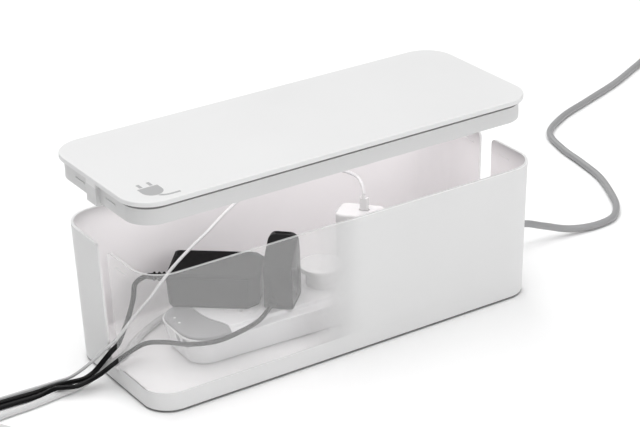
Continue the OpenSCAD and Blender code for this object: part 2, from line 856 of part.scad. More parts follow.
module upright_coil_turns() {
    color("#1c1c1c") coil(lead_b_coil, lead_b_d);
}

module upright_barrel_plug() {
    color("#1c1c1c") translate([-459, -40, 4.6]) rotate(-90) barrel_plug();
}

module charge_cable() {
    color("white") {
        tube(usb_route, usb_d);
        tube(usb_tail, usb_d);
    }
}

module charge_coil_turns() {
    color("white") coil(usb_coil, usb_d);
}

// A small flat connector with a metal tongue
module charge_connector() {
    color("white") translate([-334, 81, 3.4]) rotate([90, 0, 90]) {
        cylinder(h = 3, r1 = 1.8, r2 = 2.4);
        translate([0, 0, 3]) slab(10, 5, 2.2, 13);
        translate([0, 0, 16]) slab(8.2, 2.4, 1.1, 6.5);
    }
}

tub();
rubber_feet();
lid();
strip_base();
strip_cover();
strip_end_panel();
panel_lamps();
line_jacks();
socket_inserts();
live_rail();
neutral_rail();
earth_rail();
rocker_frame();
rocker();
cord_clamp();
strip_screws();
strip_pads();
mains_relief();
brick_base();
brick_cover();
brick_blades();
brick_board();
brick_transformer();
brick_relief();
upright_case();
upright_base();
upright_blades();
upright_board();
upright_relief();
charger_case();
charger_base();
charger_blades();
charger_board();
charge_plug();
white_plug();
white_plug_blades();
white_relief();
mains_lead();
mains_coil_turns();
mains_plug();
mains_plug_blades();
white_lead();
white_coil_turns();
white_connector();
brick_lead();
brick_coil_turns();
brick_barrel_plug();
upright_lead();
upright_coil_turns();
upright_barrel_plug();
charge_cable();
charge_coil_turns();
charge_connector();
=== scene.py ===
"""Looks of a loaded cable management box: a white lidded tub with its lid lifted, a
power strip, two black adapters, a white charger, a round plug and their leads.

Lengths below are in millimetres and become metres where a mesh is made.
"""

import math

import bmesh
import bpy
from mathutils import Matrix, Vector


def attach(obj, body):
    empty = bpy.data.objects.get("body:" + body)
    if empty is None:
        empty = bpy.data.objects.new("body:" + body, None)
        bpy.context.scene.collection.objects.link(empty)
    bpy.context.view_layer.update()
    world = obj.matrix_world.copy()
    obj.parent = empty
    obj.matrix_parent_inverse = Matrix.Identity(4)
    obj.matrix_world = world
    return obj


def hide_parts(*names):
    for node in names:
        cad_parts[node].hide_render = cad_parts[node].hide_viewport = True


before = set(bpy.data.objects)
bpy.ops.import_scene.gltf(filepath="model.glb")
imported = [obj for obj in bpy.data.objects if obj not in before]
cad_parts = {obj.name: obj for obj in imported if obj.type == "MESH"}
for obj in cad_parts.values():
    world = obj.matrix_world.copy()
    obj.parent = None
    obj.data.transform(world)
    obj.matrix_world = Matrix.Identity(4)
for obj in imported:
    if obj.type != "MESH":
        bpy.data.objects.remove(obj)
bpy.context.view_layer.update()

MM = 0.001
PICTURE_W = 640
SENSOR_W = 36.0
BOX, LID, ROCKER = "box", "lid", "rocker"

# ---------------------------------------------------------------- camera

CAM_AZIMUTH, CAM_ELEVATION, CAM_ROLL = -32.473, 24.875, -1.717
CAM_DISTANCE = 1870.2
CAM_FOCAL_PX = 2122.0
CAM_TARGET = Vector((-0.69, -24.92, 116.95))


def make_camera():
    az, el, roll = (math.radians(a) for a in (CAM_AZIMUTH, CAM_ELEVATION, CAM_ROLL))
    back = Vector((math.sin(az) * math.cos(el), -math.cos(az) * math.cos(el), math.sin(el)))
    level = (-back).cross(Vector((0, 0, 1))).normalized()
    upright = level.cross(-back)
    right = math.cos(roll) * level + math.sin(roll) * upright
    up = -math.sin(roll) * level + math.cos(roll) * upright
    data = bpy.data.cameras.new("camera")
    data.sensor_width = SENSOR_W
    data.lens = CAM_FOCAL_PX / PICTURE_W * SENSOR_W
    data.clip_start, data.clip_end = 0.05, 60
    cam = bpy.data.objects.new("camera", data)
    bpy.context.scene.collection.objects.link(cam)
    turn = Matrix((right, up, back)).transposed().to_4x4()
    cam.matrix_world = Matrix.Translation((CAM_TARGET + back * CAM_DISTANCE) * MM) @ turn
    bpy.context.scene.camera = cam


make_camera()

# ---------------------------------------------------------------- mesh helpers


def link(name, mesh):
    obj = bpy.data.objects.new(name, mesh)
    bpy.context.scene.collection.objects.link(obj)
    return obj


def make(name, verts, faces, place=None):
    """An object from corner points in millimetres, with doubles merged and faces turned outwards."""
    mesh = bpy.data.meshes.new(name)
    mesh.from_pydata([tuple(v) for v in verts], [], faces)
    bm = bmesh.new()
    bm.from_mesh(mesh)
    bmesh.ops.remove_doubles(bm, verts=bm.verts, dist=0.002)
    bmesh.ops.recalc_face_normals(bm, faces=bm.faces)
    if place is not None:
        bm.transform(place)
    bmesh.ops.scale(bm, vec=(MM, MM, MM), verts=bm.verts)
    for face in bm.faces:
        face.smooth = True
    bm.to_mesh(mesh)
    bm.free()
    return link(name, mesh)


def settle(obj):
    """Turns the result of an object's modifiers into its plain mesh."""
    graph = bpy.context.evaluated_depsgraph_get()
    graph.update()
    made = bpy.data.meshes.new_from_object(obj.evaluated_get(graph))
    old = obj.data
    obj.modifiers.clear()
    obj.data = made
    bpy.data.meshes.remove(old)
    return obj


def soften(obj, width, segments=3, angle=34):
    """Rounds the sharp edges and keeps the flat faces flat."""
    bevel = obj.modifiers.new("round_edges", "BEVEL")
    bevel.width = width * MM
    bevel.segments = segments
    bevel.limit_method = "ANGLE"
    bevel.angle_limit = math.radians(angle)
    bevel.use_clamp_overlap = True
    bevel.miter_outer = "MITER_ARC"
    normals = obj.modifiers.new("even_shading", "WEIGHTED_NORMAL")
    normals.keep_sharp = True
    normals.weight = 100
    return settle(obj)


def cut(obj, *tools):
    """Takes each tool's shape out of the object and removes the tools."""
    for tool in tools:
        boolean = obj.modifiers.new("cut", "BOOLEAN")
        boolean.operation = "DIFFERENCE"
        boolean.solver = "EXACT"
        boolean.object = tool
        settle(obj)
        bpy.data.objects.remove(tool)
    return obj


def join(name, *objs):
    """One object from several, all of them at the origin."""
    bm = bmesh.new()
    for obj in objs:
        bm.from_mesh(obj.data)
        bpy.data.objects.remove(obj)
    mesh = bpy.data.meshes.new(name)
    bm.to_mesh(mesh)
    bm.free()
    return link(name, mesh)


def place_at(at, turn, z=0.0):
    return Matrix.Translation((at[0], at[1], z)) @ Matrix.Rotation(math.radians(turn), 4, "Z")


def arc(count, start, end):
    """count + 1 angles from start to end, in radians."""
    return [math.radians(start + (end - start) * i / count) for i in range(count + 1)]


CORNER_STEPS, SLAB_STEPS = 12, 6


def corner_columns(core_l, core_w, steps=CORNER_STEPS):
    """The four rounded corners of a plan, anticlockwise from the right back one.

    Each column is a point of the core rectangle and the outward direction there, so a
    wall point is the core point plus the direction times a radius."""
    corners = []
    for sx, sy, first in ((1, 1, 0), (-1, 1, 90), (-1, -1, 180), (1, -1, 270)):
        corners.append([(sx * core_l, sy * core_w, math.cos(a), math.sin(a))
                        for a in arc(steps, first, first + 90)])
    return corners


def ring(columns, radius, z):
    return [Vector((cx + radius * nx, cy + radius * ny, z)) for cx, cy, nx, ny in columns]


def loft(rings, closed=False):
    """Points and faces of a skin through closed rings with equal numbers of points.

    The first and last ring are capped, or joined to each other where the skin is closed."""
    count = len(rings[0])
    verts = [p for r in rings for p in r]
    faces = []
    pairs = list(zip(range(len(rings) - 1), range(1, len(rings))))
    if closed:
        pairs.append((len(rings) - 1, 0))
    for a, b in pairs:
        for j in range(count):
            k = (j + 1) % count
            faces.append((a * count + j, a * count + k, b * count + k, b * count + j))
    if not closed:
        last = (len(rings) - 1) * count
        faces += [tuple(range(count)), tuple(range(last, last + count))]
    return verts, faces


def plan_solid(name, core_l, core_w, profile, place=None, steps=CORNER_STEPS):
    """A closed body whose plan is a rounded rectangle, from (radius, height) pairs."""
    columns = sum(corner_columns(core_l, core_w, steps), [])
    verts, faces = loft([ring(columns, r, z) for r, z in profile])
    return make(name, verts, faces, place)


def prism(name, outline, z0, z1, place=None):
    verts, faces = loft([[Vector((x, y, z)) for x, y in outline] for z in (z0, z1)])
    return make(name, verts, faces, place)


def block(name, x0, x1, y0, y1, z0, z1, place=None):
    return prism(name, [(x0, y0), (x1, y0), (x1, y1), (x0, y1)], z0, z1, place)


def rings_solid(name, profile, place=None, steps=CORNER_STEPS):
    """A closed body through rounded rectangles, each given by its core, radius and height."""
    rings = [ring(sum(corner_columns(*core, steps), []), r, z) for core, r, z in profile]
    verts, faces = loft(rings)
    return make(name, verts, faces, place)


def outline_solid(name, outline_at, profile, place):
    """A closed body from an outline drawn at each inset of a profile of (inset, height)."""
    rings = [[Vector((p[0], p[1], z)) for p in outline_at(t)] for t, z in profile]
    verts, faces = loft(rings)
    return make(name, verts, faces, place)


def slab(name, l, w, r, z0, z1, place=None):
    return plan_solid(name, l / 2 - r, w / 2 - r, [(r, z0), (r, z1)], place, SLAB_STEPS)


def lathe(name, profile, place=None, sides=40):
    """A turned body about +Z from (radius, height) pairs, closed at both ends."""
    rings = [[Vector((max(r, 0.001) * math.cos(a), max(r, 0.001) * math.sin(a), z))
              for a in arc(sides, 0, 360)[:-1]] for r, z in profile]
    verts, faces = loft(rings)
    return make(name, verts, faces, place)


def along(origin, direction):
    """A matrix that stands +Z along a direction at an origin."""
    turn = Vector(direction).normalized().to_track_quat("Z", "X").to_matrix().to_4x4()
    return Matrix.Translation(Vector(origin)) @ turn


def fillet(corners, radius, steps=4, closed=True):
    """A flat line with each corner rounded, with the same number of points at every corner."""
    line = []
    count = len(corners)
    for i, corner in enumerate(corners):
        p = Vector(corner)
        if not closed and i in (0, count - 1):
            line.append(p)
            continue
        back, on = Vector(corners[i - 1]) - p, Vector(corners[(i + 1) % count]) - p
        u, v = back.normalized(), on.normalized()
        half = u.angle(v) / 2
        reach = min(radius / math.tan(half), 0.48 * back.length, 0.48 * on.length)
        r = reach * math.tan(half)
        centre = p + (u + v).normalized() * (r / math.sin(half))
        first, last = p + u * reach - centre, p + v * reach - centre
        turn = first.angle_signed(last)
        for k in range(steps + 1):
            a = -turn * k / steps
            line.append(centre + Vector((first.x * math.cos(a) - first.y * math.sin(a),
                                         first.x * math.sin(a) + first.y * math.cos(a))))
    return line


# ---------------------------------------------------------------- sizes of the box

BOX_L, BOX_W, RIM_Z, FOOT_H, FLOOR_Z, WALL = 407.0, 158.0, 132.0, 1.5, 15.0, 2.4
RIM_R, TAPER = 29.0, 4.2
CORE_L, CORE_W = BOX_L / 2 - RIM_R, BOX_W / 2 - RIM_R
SLOPE = TAPER / (RIM_Z - FOOT_H)
SLOT_HALF, SLOT_R = 9.0, 5.0
UNDER = FLOOR_Z - 2.6
STIFFENERS_X, STIFFENERS_Y, STIFFENER_H = (-120, -60, 60, 120), (-26, 26), 3
FEET = [(-168, -50), (-168, 50), (168, -50), (168, 50), (0, 0)]
FOOT_R, FOOT_T, FOOT_CUP_Z = 7, 3, 3.1
SNAP_Y, TUB_SNAP_DROP, LID_SNAP_DROP = 27, 12.3, 10
LID_X, LID_Z, LID_T, SKIRT_R, SKIRT_H, SKIRT_T = -6.0, 194.7, 4.3, 24.7, 18.0, 2.2
GROOVE_H, GROOVE_DEEP = 3.2, 1.2
TAB_HALF, TAB_H, TAB_END = 8.4, 20, 203.3

# ---------------------------------------------------------------- node trees for shapes

FLOAT, COLOUR, VECTOR = "NodeSocketFloat", "NodeSocketColor", "NodeSocketVector"
DISC_SIDES = 36


def new_tree(name, inputs):
    """A Geometry Nodes tree with a geometry in and out, the named inputs and a material."""
    tree = bpy.data.node_groups.new(name, "GeometryNodeTree")
    face = tree.interface
    face.new_socket("Geometry", in_out="INPUT", socket_type="NodeSocketGeometry")
    for label, kind in (*inputs, ("Material", "NodeSocketMaterial")):
        face.new_socket(label, in_out="INPUT", socket_type=kind)
    face.new_socket("Geometry", in_out="OUTPUT", socket_type="NodeSocketGeometry")
    return tree, tree.nodes.new("NodeGroupInput"), tree.nodes.new("NodeGroupOutput")


def add(tree, kind, links=(), **settings):
    """A node with its settings, and its inputs fed from (input, socket or value) pairs."""
    node = tree.nodes.new(kind)
    for key, value in settings.items():
        setattr(node, key, value)
    for label, source in links:
        target = node.inputs[label]
        if isinstance(source, bpy.types.NodeSocket):
            tree.links.new(source, target)
        else:
            target.default_value = source
    return node


def maths(tree, operation, *values):
    """The result of a Math node on its values."""
    return add(tree, "ShaderNodeMath", list(enumerate(values)), operation=operation).outputs[0]


def vector(tree, **parts):
    """A vector from its X, Y and Z, each a socket or a number."""
    return add(tree, "ShaderNodeCombineXYZ", list(parts.items())).outputs[0]


def joined(tree, *geometries):
    both = add(tree, "GeometryNodeJoinGeometry")
    for geometry in geometries:
        tree.links.new(geometry, both.inputs[0])
    return both.outputs[0]


def moved(tree, geometry, **how):
    """A geometry after its Translation or Scale."""
    return add(tree, "GeometryNodeTransform", [("Geometry", geometry), *how.items()]).outputs["Geometry"]


def swept(tree, line, profile, **rest):
    """The skin of a profile curve carried along a line."""
    return add(tree, "GeometryNodeCurveToMesh",
               [("Curve", line.outputs["Curve"]), ("Profile Curve", profile.outputs["Curve"]),
                *rest.items()]).outputs["Mesh"]


def circle(tree, sides, radius):
    return add(tree, "GeometryNodeCurvePrimitiveCircle", [("Resolution", sides), ("Radius", radius)])


def on_points(tree, spots, shape, *turns):
    """A shape on every point, with (input, socket) pairs for its turn and size."""
    return add(tree, "GeometryNodeInstanceOnPoints",
               [("Points", spots), ("Instance", shape), *turns]).outputs["Instances"]


def end_tree(tree, given, out, geometry, smooth=None):
    """Realizes the instances and sets the material, as the last steps of a tree."""
    last = add(tree, "GeometryNodeRealizeInstances", [("Geometry", geometry)]).outputs["Geometry"]
    if smooth is not None:
        last = add(tree, "GeometryNodeSetShadeSmooth",
                   [("Geometry", last), ("Shade Smooth", smooth)]).outputs["Geometry"]
    coat = add(tree, "GeometryNodeSetMaterial",
               [("Geometry", last), ("Material", given.outputs["Material"])])
    tree.links.new(coat.outputs["Geometry"], out.inputs["Geometry"])
    return tree


def grow(obj, tree, **values):
    """Runs a tree on an object with the named inputs and keeps the plain mesh."""
    mod = obj.modifiers.new(tree.name, "NODES")
    mod.node_group = tree
    sockets = {s.name: s.identifier for s in tree.interface.items_tree if s.in_out == "INPUT"}
    for label, value in values.items():
        mod[sockets[label]] = value
    return settle(obj)


def points(name, places):
    """An object of loose points, for a tree to put shapes on."""
    mesh = bpy.data.meshes.new(name)
    mesh.from_pydata([tuple(Vector(p) * MM) for p in places], [], [])
    return link(name, mesh)


def polyline(name, places):
    mesh = bpy.data.meshes.new(name)
    mesh.from_pydata([tuple(Vector(p) * MM) for p in places],
                     [(i, i + 1) for i in range(len(places) - 1)], [])
    return link(name, mesh)


def sheath_tree():
    """A round sheath along a line of edges."""
    tree, given, out = new_tree("sheath", [("Radius", FLOAT), ("Sides", "NodeSocketInt")])
    line = add(tree, "GeometryNodeMeshToCurve", [("Mesh", given.outputs["Geometry"])])
    skin = swept(tree, line, circle(tree, given.outputs["Sides"], given.outputs["Radius"]),
                 **{"Fill Caps": True})
    return end_tree(tree, given, out, skin, smooth=True)


def disc_tree():
    """A disc with a chamfered upper edge on every point."""
    tree, given, out = new_tree("chamfered_discs", [("Radius", FLOAT), ("Height", FLOAT),
                                                    ("Chamfer", FLOAT)])
    radius, height, chamfer = (given.outputs[n] for n in ("Radius", "Height", "Chamfer"))
    straight = maths(tree, "SUBTRACT", height, chamfer)
    inner = maths(tree, "SUBTRACT", radius, chamfer)
    low = add(tree, "GeometryNodeMeshCone", [("Vertices", DISC_SIDES), ("Radius Top", radius),
                                             ("Radius Bottom", radius), ("Depth", straight)])
    high = add(tree, "GeometryNodeMeshCone", [("Vertices", DISC_SIDES), ("Radius Top", inner),
                                              ("Radius Bottom", radius), ("Depth", chamfer)])
    lifted = moved(tree, high.outputs["Mesh"], Translation=vector(tree, Z=straight))
    disc = joined(tree, low.outputs["Mesh"], lifted)
    return end_tree(tree, given, out, on_points(tree, given.outputs["Geometry"], disc), smooth=False)


def rib_tree():
    """A low bar with round ends along Y on every point."""
    tree, given, out = new_tree("snap_ribs", [("Length", FLOAT), ("Height", FLOAT), ("Proud", FLOAT)])
    half = maths(tree, "MULTIPLY", given.outputs["Height"], 0.5)
    reach = maths(tree, "MULTIPLY", given.outputs["Length"], 0.5)
    straight = maths(tree, "SUBTRACT", reach, half)
    tips = [vector(tree, Y=y) for y in (maths(tree, "MULTIPLY", straight, -1.0), straight)]
    line = add(tree, "GeometryNodeCurvePrimitiveLine", [("Start", tips[0]), ("End", tips[1])])
    bar = swept(tree, line, circle(tree, 16, half), **{"Fill Caps": True})
    ball = add(tree, "GeometryNodeMeshUVSphere", [("Segments", 16), ("Rings", 10), ("Radius", half)])
    ends = [moved(tree, ball.outputs["Mesh"], Translation=tip) for tip in tips]
    flat = maths(tree, "DIVIDE", given.outputs["Proud"], half)
    thin = moved(tree, joined(tree, bar, *ends), Scale=vector(tree, X=flat, Y=1.0, Z=1.0))
    return end_tree(tree, given, out, on_points(tree, given.outputs["Geometry"], thin), smooth=True)


def collar_tree():
    """Rounded collars along a sleeve's axis, smaller towards its tip."""
    tree, given, out = new_tree("sleeve_collars", [("Count", "NodeSocketInt"), ("Radius", FLOAT),
                                                   ("Taper", FLOAT), ("Width", FLOAT)])
    line = add(tree, "GeometryNodeMeshToCurve", [("Mesh", given.outputs["Geometry"])])
    spots = add(tree, "GeometryNodeCurveToPoints",
                [("Curve", line.outputs["Curve"]), ("Count", given.outputs["Count"])])
    hoop = swept(tree, circle(tree, 28, given.outputs["Radius"]),
                 circle(tree, 10, given.outputs["Width"]))
    index = add(tree, "GeometryNodeInputIndex").outputs[0]
    size = maths(tree, "SUBTRACT", 1.0, maths(tree, "MULTIPLY", index, given.outputs["Taper"]))
    collars = on_points(tree, spots.outputs["Points"], hoop, ("Rotation", spots.outputs["Rotation"]),
                        ("Scale", size))
    return end_tree(tree, given, out, collars, smooth=True)


def copies_tree():
    """A given shape on every point, turned about Z."""
    tree, given, out = new_tree("turned_copies", [("Shape", "NodeSocketObject"), ("Turn", FLOAT)])
    shape = add(tree, "GeometryNodeObjectInfo", [("Object", given.outputs["Shape"])])
    turn = add(tree, "FunctionNodeEulerToRotation", [(0, vector(tree, Z=given.outputs["Turn"]))])
    copies = on_points(tree, given.outputs["Geometry"], shape.outputs["Geometry"],
                       ("Rotation", turn.outputs[0]))
    return end_tree(tree, given, out, copies)


SHEATH, DISCS, RIBS, COLLARS, COPIES = sheath_tree(), disc_tree(), rib_tree(), collar_tree(), copies_tree()

# ---------------------------------------------------------------- shader groups and materials


def shader_group(name, inputs, outputs):
    group = bpy.data.node_groups.new(name, "ShaderNodeTree")
    for label, kind, value in inputs:
        socket = group.interface.new_socket(label, in_out="INPUT", socket_type=kind)
        socket.default_value = value
    for label, kind in outputs:
        group.interface.new_socket(label, in_out="OUTPUT", socket_type=kind)
    return group, group.nodes.new("NodeGroupInput"), group.nodes.new("NodeGroupOutput")


def ramp(tree, value, low, high, first=0.0, last=1.0, **settings):
    """A value that goes from first to last while another one goes from low to high."""
    return add(tree, "ShaderNodeMapRange", [("Value", value), ("From Min", low), ("From Max", high),
                                            ("To Min", first), ("To Max", last)], **settings).outputs[0]


def mix(tree, share, one, other):
    """A colour between two, from one at share 0 to the other at share 1."""
    return add(tree, "ShaderNodeMix", [(0, share), ("A", one), ("B", other)],
               data_type="RGBA").outputs["Result"]


# The part of a noise's range that the clouds of gloss and tone use
CLOUD_RANGE = (0.3, 0.7)


def moulded_skin():
    """The fine eroded grain of moulded plastic, with faint flow marks in its gloss."""
    group, given, out = shader_group(
        "moulded_skin",
        [("Vector", VECTOR, (0, 0, 0)), ("Grain", FLOAT, 2200.0), ("Roughness", FLOAT, 0.45),
         ("Spread", FLOAT, 0.08)],
        [("Height", FLOAT), ("Roughness", FLOAT)])
    pits = add(group, "ShaderNodeTexNoise", [("Vector", given.outputs["Vector"]),
                                             ("Scale", given.outputs["Grain"]), ("Detail", 3.0),
                                             ("Roughness", 0.6)])
    flow = add(group, "ShaderNodeTexNoise", [("Vector", given.outputs["Vector"]), ("Scale", 9.0),
                                             ("Detail", 2.0)])
    swing = ramp(group, flow.outputs["Fac"], *CLOUD_RANGE, -1.0, 1.0)
    part = maths(group, "MULTIPLY", swing, given.outputs["Spread"])
    group.links.new(pits.outputs["Fac"], out.inputs["Height"])
    group.links.new(maths(group, "ADD", part, given.outputs["Roughness"]), out.inputs["Roughness"])
    return group


def tone_drift():
    """A colour that drifts a little over the surface, as real plastic and rubber do."""
    group, given, out = shader_group(
        "tone_drift",
        [("Vector", VECTOR, (0, 0, 0)), ("Colour", COLOUR, (0.8, 0.8, 0.8, 1)), ("Scale", FLOAT, 14.0),
         ("Amount", FLOAT, 0.03)],
        [("Colour", COLOUR)])
    cloud = add(group, "ShaderNodeTexNoise", [("Vector", given.outputs["Vector"]),
                                              ("Scale", given.outputs["Scale"]), ("Detail", 4.0)])
    swing = ramp(group, cloud.outputs["Fac"], *CLOUD_RANGE, 1.0, 0.0)
    keep = maths(group, "SUBTRACT", 1.0, maths(group, "MULTIPLY", swing, given.outputs["Amount"]))
    shade = add(group, "ShaderNodeVectorMath", [(0, given.outputs["Colour"]), ("Scale", keep)],
                operation="SCALE")
    group.links.new(shade.outputs[0], out.inputs["Colour"])
    return group


SKIN, TONE = moulded_skin(), tone_drift()


class Finish:
    """A material on one Principled shader, with the two shared groups placed in it."""

    def __init__(self, name, colour, roughness, grain=2200.0, depth=0.02, spread=0.05, drift=0.03,
                 **sockets):
        self.mat = bpy.data.materials.new(name)
        self.mat.use_nodes = True
        self.tree = self.mat.node_tree
        self.shader = self.tree.nodes["Principled BSDF"]
        self.place = add(self.tree, "ShaderNodeTexCoord").outputs["Object"]
        self.tone = add(self.tree, "ShaderNodeGroup", node_tree=TONE)
        self.skin = add(self.tree, "ShaderNodeGroup", node_tree=SKIN)
        for group in (self.tone, self.skin):
            self.join(self.place, group.inputs["Vector"])
        self.tone.inputs["Colour"].default_value = (*colour, 1)
        self.tone.inputs["Amount"].default_value = drift
        self.skin.inputs["Grain"].default_value = grain
        self.skin.inputs["Roughness"].default_value = roughness
        self.skin.inputs["Spread"].default_value = spread
        self.join(self.tone.outputs["Colour"], self.shader.inputs["Base Color"])
        self.join(self.skin.outputs["Roughness"], self.shader.inputs["Roughness"])
        self.bump = add(self.tree, "ShaderNodeBump", [("Height", self.skin.outputs["Height"]),
                                                      ("Distance", depth * MM), ("Strength", 1.0)])
        self.join(self.bump.outputs["Normal"], self.shader.inputs["Normal"])
        for label, value in sockets.items():
            self.shader.inputs[label.replace("_", " ")].default_value = value

    def join(self, source, target):
        self.tree.links.new(source, target)


SHELL_COLOUR = (0.765, 0.765, 0.765, 1)
# The tub's colours, and how deep in the wall the inside's painted light starts: the inside, its floor and
# the rim's top are painted paler as light, and the bottom edge is painted dark as a shadow
INSIDE_DEPTH, INSIDE_SOFT = 0.0012, 0.0006
INSIDE_LIGHT_COLOUR = (0.81, 0.795, 0.80, 1)
FLOOR_LIGHT_COLOUR = (0.95, 0.945, 0.945, 1)
RIM_HIGHLIGHT_COLOUR = (0.93, 0.93, 0.93, 1)
BASE_SHADOW_COLOUR = (0.08, 0.08, 0.08, 1)
# Heights in metres over which each painted light or painted shadow gives way to the next
FLOOR_ENDS, RIM_HIGHLIGHT_STARTS, BASE_SHADOW_ENDS = (0.0148, 0.0154), (0.1311, 0.1315), (0.002, 0.0023)
# Where the tub's wall is drawn see-through, in metres in the tub's own frame: the front
# wall's left part and the front half of the left end, above the floor and below the rim.
GHOST_END_X, GHOST_FADE = -0.055, 0.065
GHOST_RIM_Z, GHOST_RIM_SHARE = 0.1315, 0.5
GHOST_OUTER_Z, GHOST_INNER_Z = 0.0192, 0.01505
GHOST_SOFT = 0.0003
GHOST_LAYER = 0.16
# The see-through part is painted paler than the plastic, as painted light
GHOST_LIGHT_COLOUR = (0.93, 0.93, 0.93, 1)
# The lid's painted shade on the skirt and painted shadow in the groove under the plate, and the heights in
# metres between which that groove lies
SKIRT_SHADE_COLOUR, GROOVE_SHADOW_COLOUR = (0.66, 0.66, 0.66, 1), (0.3, 0.3, 0.3, 1)
GROOVE_LOW_Z, GROOVE_HIGH_Z = (LID_Z - GROOVE_H - 0.3) * MM, (LID_Z - 0.1) * MM
GROOVE_SOFT, TAB_ROOM = 0.0005, 0.2


def wall_depth():
    """How deep a point lies inside the tub's outer surface, from its place in the tub."""
    group, given, out = shader_group("wall_depth", [("Vector", VECTOR, (0, 0, 0))], [("Depth", FLOAT)])
    axes = add(group, "ShaderNodeSeparateXYZ", [("Vector", given.outputs["Vector"])]).outputs
    beyond = {axis: maths(group, "MAXIMUM", maths(group, "SUBTRACT", maths(group, "ABSOLUTE", axes[axis]),
                                                  core * MM), 0.0)
              for axis, core in (("X", CORE_L), ("Y", CORE_W))}
    reach = add(group, "ShaderNodeVectorMath", [(0, vector(group, **beyond))], operation="LENGTH")
    surface = ramp(group, axes["Z"], FOOT_H * MM, RIM_Z * MM, (RIM_R - TAPER) * MM, RIM_R * MM)
    group.links.new(maths(group, "SUBTRACT", surface, reach.outputs["Value"]), out.inputs["Depth"])
    return group


def white_shell(name):
    """The satin white plastic of the tub and the lid, with the parts of its surface's place."""
    fin = Finish(name, SHELL_COLOUR[:3], 0.42, grain=2600.0, depth=0.012, drift=0.012, IOR=1.46)
    return fin, fin.tree, add(fin.tree, "ShaderNodeSeparateXYZ", [("Vector", fin.place)]).outputs


def tub_plastic_and_painted_light():
    """White moulded plastic whose front left wall shows what is behind it, with painted light on the
    inside, its floor, the rim's top and the see-through part, and a painted shadow along the bottom edge.
    """
    fin, tree, axes = white_shell("tub_plastic")
    depth = add(tree, "ShaderNodeGroup", [("Vector", fin.place)], node_tree=wall_depth()).outputs["Depth"]
    inner = ramp(tree, depth, INSIDE_DEPTH, INSIDE_DEPTH + INSIDE_SOFT)
    lit_floor_share = maths(tree, "MULTIPLY", ramp(tree, axes["Z"], *FLOOR_ENDS, 1.0, 0.0), inner)
    tones = SHELL_COLOUR
    # Painted light on the inside, its floor and the rim's top, and a painted shadow along the bottom edge
    for share, colour in ((inner, INSIDE_LIGHT_COLOUR), (lit_floor_share, FLOOR_LIGHT_COLOUR),
                          (ramp(tree, axes["Z"], *RIM_HIGHLIGHT_STARTS), RIM_HIGHLIGHT_COLOUR),
                          (ramp(tree, axes["Z"], *BASE_SHADOW_ENDS, 1.0, 0.0), BASE_SHADOW_COLOUR)):
        tones = mix(tree, share, tones, colour)
    left = ramp(tree, axes["X"], GHOST_END_X, GHOST_END_X + GHOST_FADE, 1.0, 0.0,
                interpolation_type="SMOOTHSTEP")
    front = maths(tree, "LESS_THAN", axes["Y"], 0.0)
    start = ramp(tree, depth, 0.0, WALL * MM, GHOST_OUTER_Z, GHOST_INNER_Z)
    above = ramp(tree, maths(tree, "SUBTRACT", axes["Z"], start), 0.0, GHOST_SOFT)
    below = ramp(tree, axes["Z"], GHOST_RIM_Z, GHOST_RIM_Z + GHOST_SOFT, 1.0, GHOST_RIM_SHARE)
    specks = add(tree, "ShaderNodeTexWhiteNoise", [("Vector", fin.place)], noise_dimensions="3D")
    share = maths(tree, "LESS_THAN", specks.outputs["Value"], left)
    for other in (front, above, below):
        share = maths(tree, "MULTIPLY", share, other)
    # The see-through part takes its paler colour of painted light
    fin.join(mix(tree, share, tones, GHOST_LIGHT_COLOUR), fin.tone.inputs["Colour"])
    fin.join(ramp(tree, share, 0.0, 1.0, 1.0, GHOST_LAYER), fin.shader.inputs["Alpha"])
    return fin.mat


def lid_plastic_and_painted_shade():
    """The lid's white plastic, with painted shade on the skirt and a darker painted shadow in the groove
    under the plate.
    """
    fin, tree, axes = white_shell("lid_plastic")
    # Painted shade: the skirt below the plate darker, and a painted shadow in the groove beside the tabs
    low = ramp(tree, axes["Z"], GROOVE_LOW_Z - GROOVE_SOFT, GROOVE_LOW_Z)
    high = maths(tree, "LESS_THAN", axes["Z"], GROOVE_HIGH_Z)
    beside_tab = maths(tree, "GREATER_THAN", maths(tree, "ABSOLUTE", axes["Y"]),
                       (TAB_HALF + TAB_ROOM) * MM)
    groove = maths(tree, "MULTIPLY", maths(tree, "MULTIPLY", low, high), beside_tab)
    plate = mix(tree, low, SKIRT_SHADE_COLOUR, SHELL_COLOUR)
    fin.join(mix(tree, groove, plate, GROOVE_SHADOW_COLOUR), fin.tone.inputs["Colour"])
    return fin.mat


def tape_finish():
    """Yellow tape over copper turns, in bands along Z."""
    fin = Finish("winding_tape", (0.62, 0.44, 0.06), 0.4, grain=900.0, depth=0.05)
    bands = add(fin.tree, "ShaderNodeTexWave",
                [("Vector", fin.place), ("Scale", 260.0), ("Distortion", 0.4)], bands_direction="Z")
    tones = mix(fin.tree, bands.outputs["Fac"], (0.45, 0.20, 0.05, 1), (0.72, 0.52, 0.08, 1))
    fin.join(tones, fin.shader.inputs["Base Color"])
    return fin.mat


def board_finish():
    """Green lacquer with copper tracks under it."""
    fin = Finish("board_green", (0.03, 0.16, 0.07), 0.3, grain=700.0, depth=0.03)
    cells = add(fin.tree, "ShaderNodeTexBrick",
                [("Vector", fin.place), ("Scale", 90.0), ("Color1", (0.02, 0.14, 0.06, 1)),
                 ("Color2", (0.03, 0.19, 0.08, 1)), ("Mortar", (0.10, 0.34, 0.14, 1)),
                 ("Mortar Size", 0.03)])
    fin.join(cells.outputs["Color"], fin.shader.inputs["Base Color"])
    return fin.mat


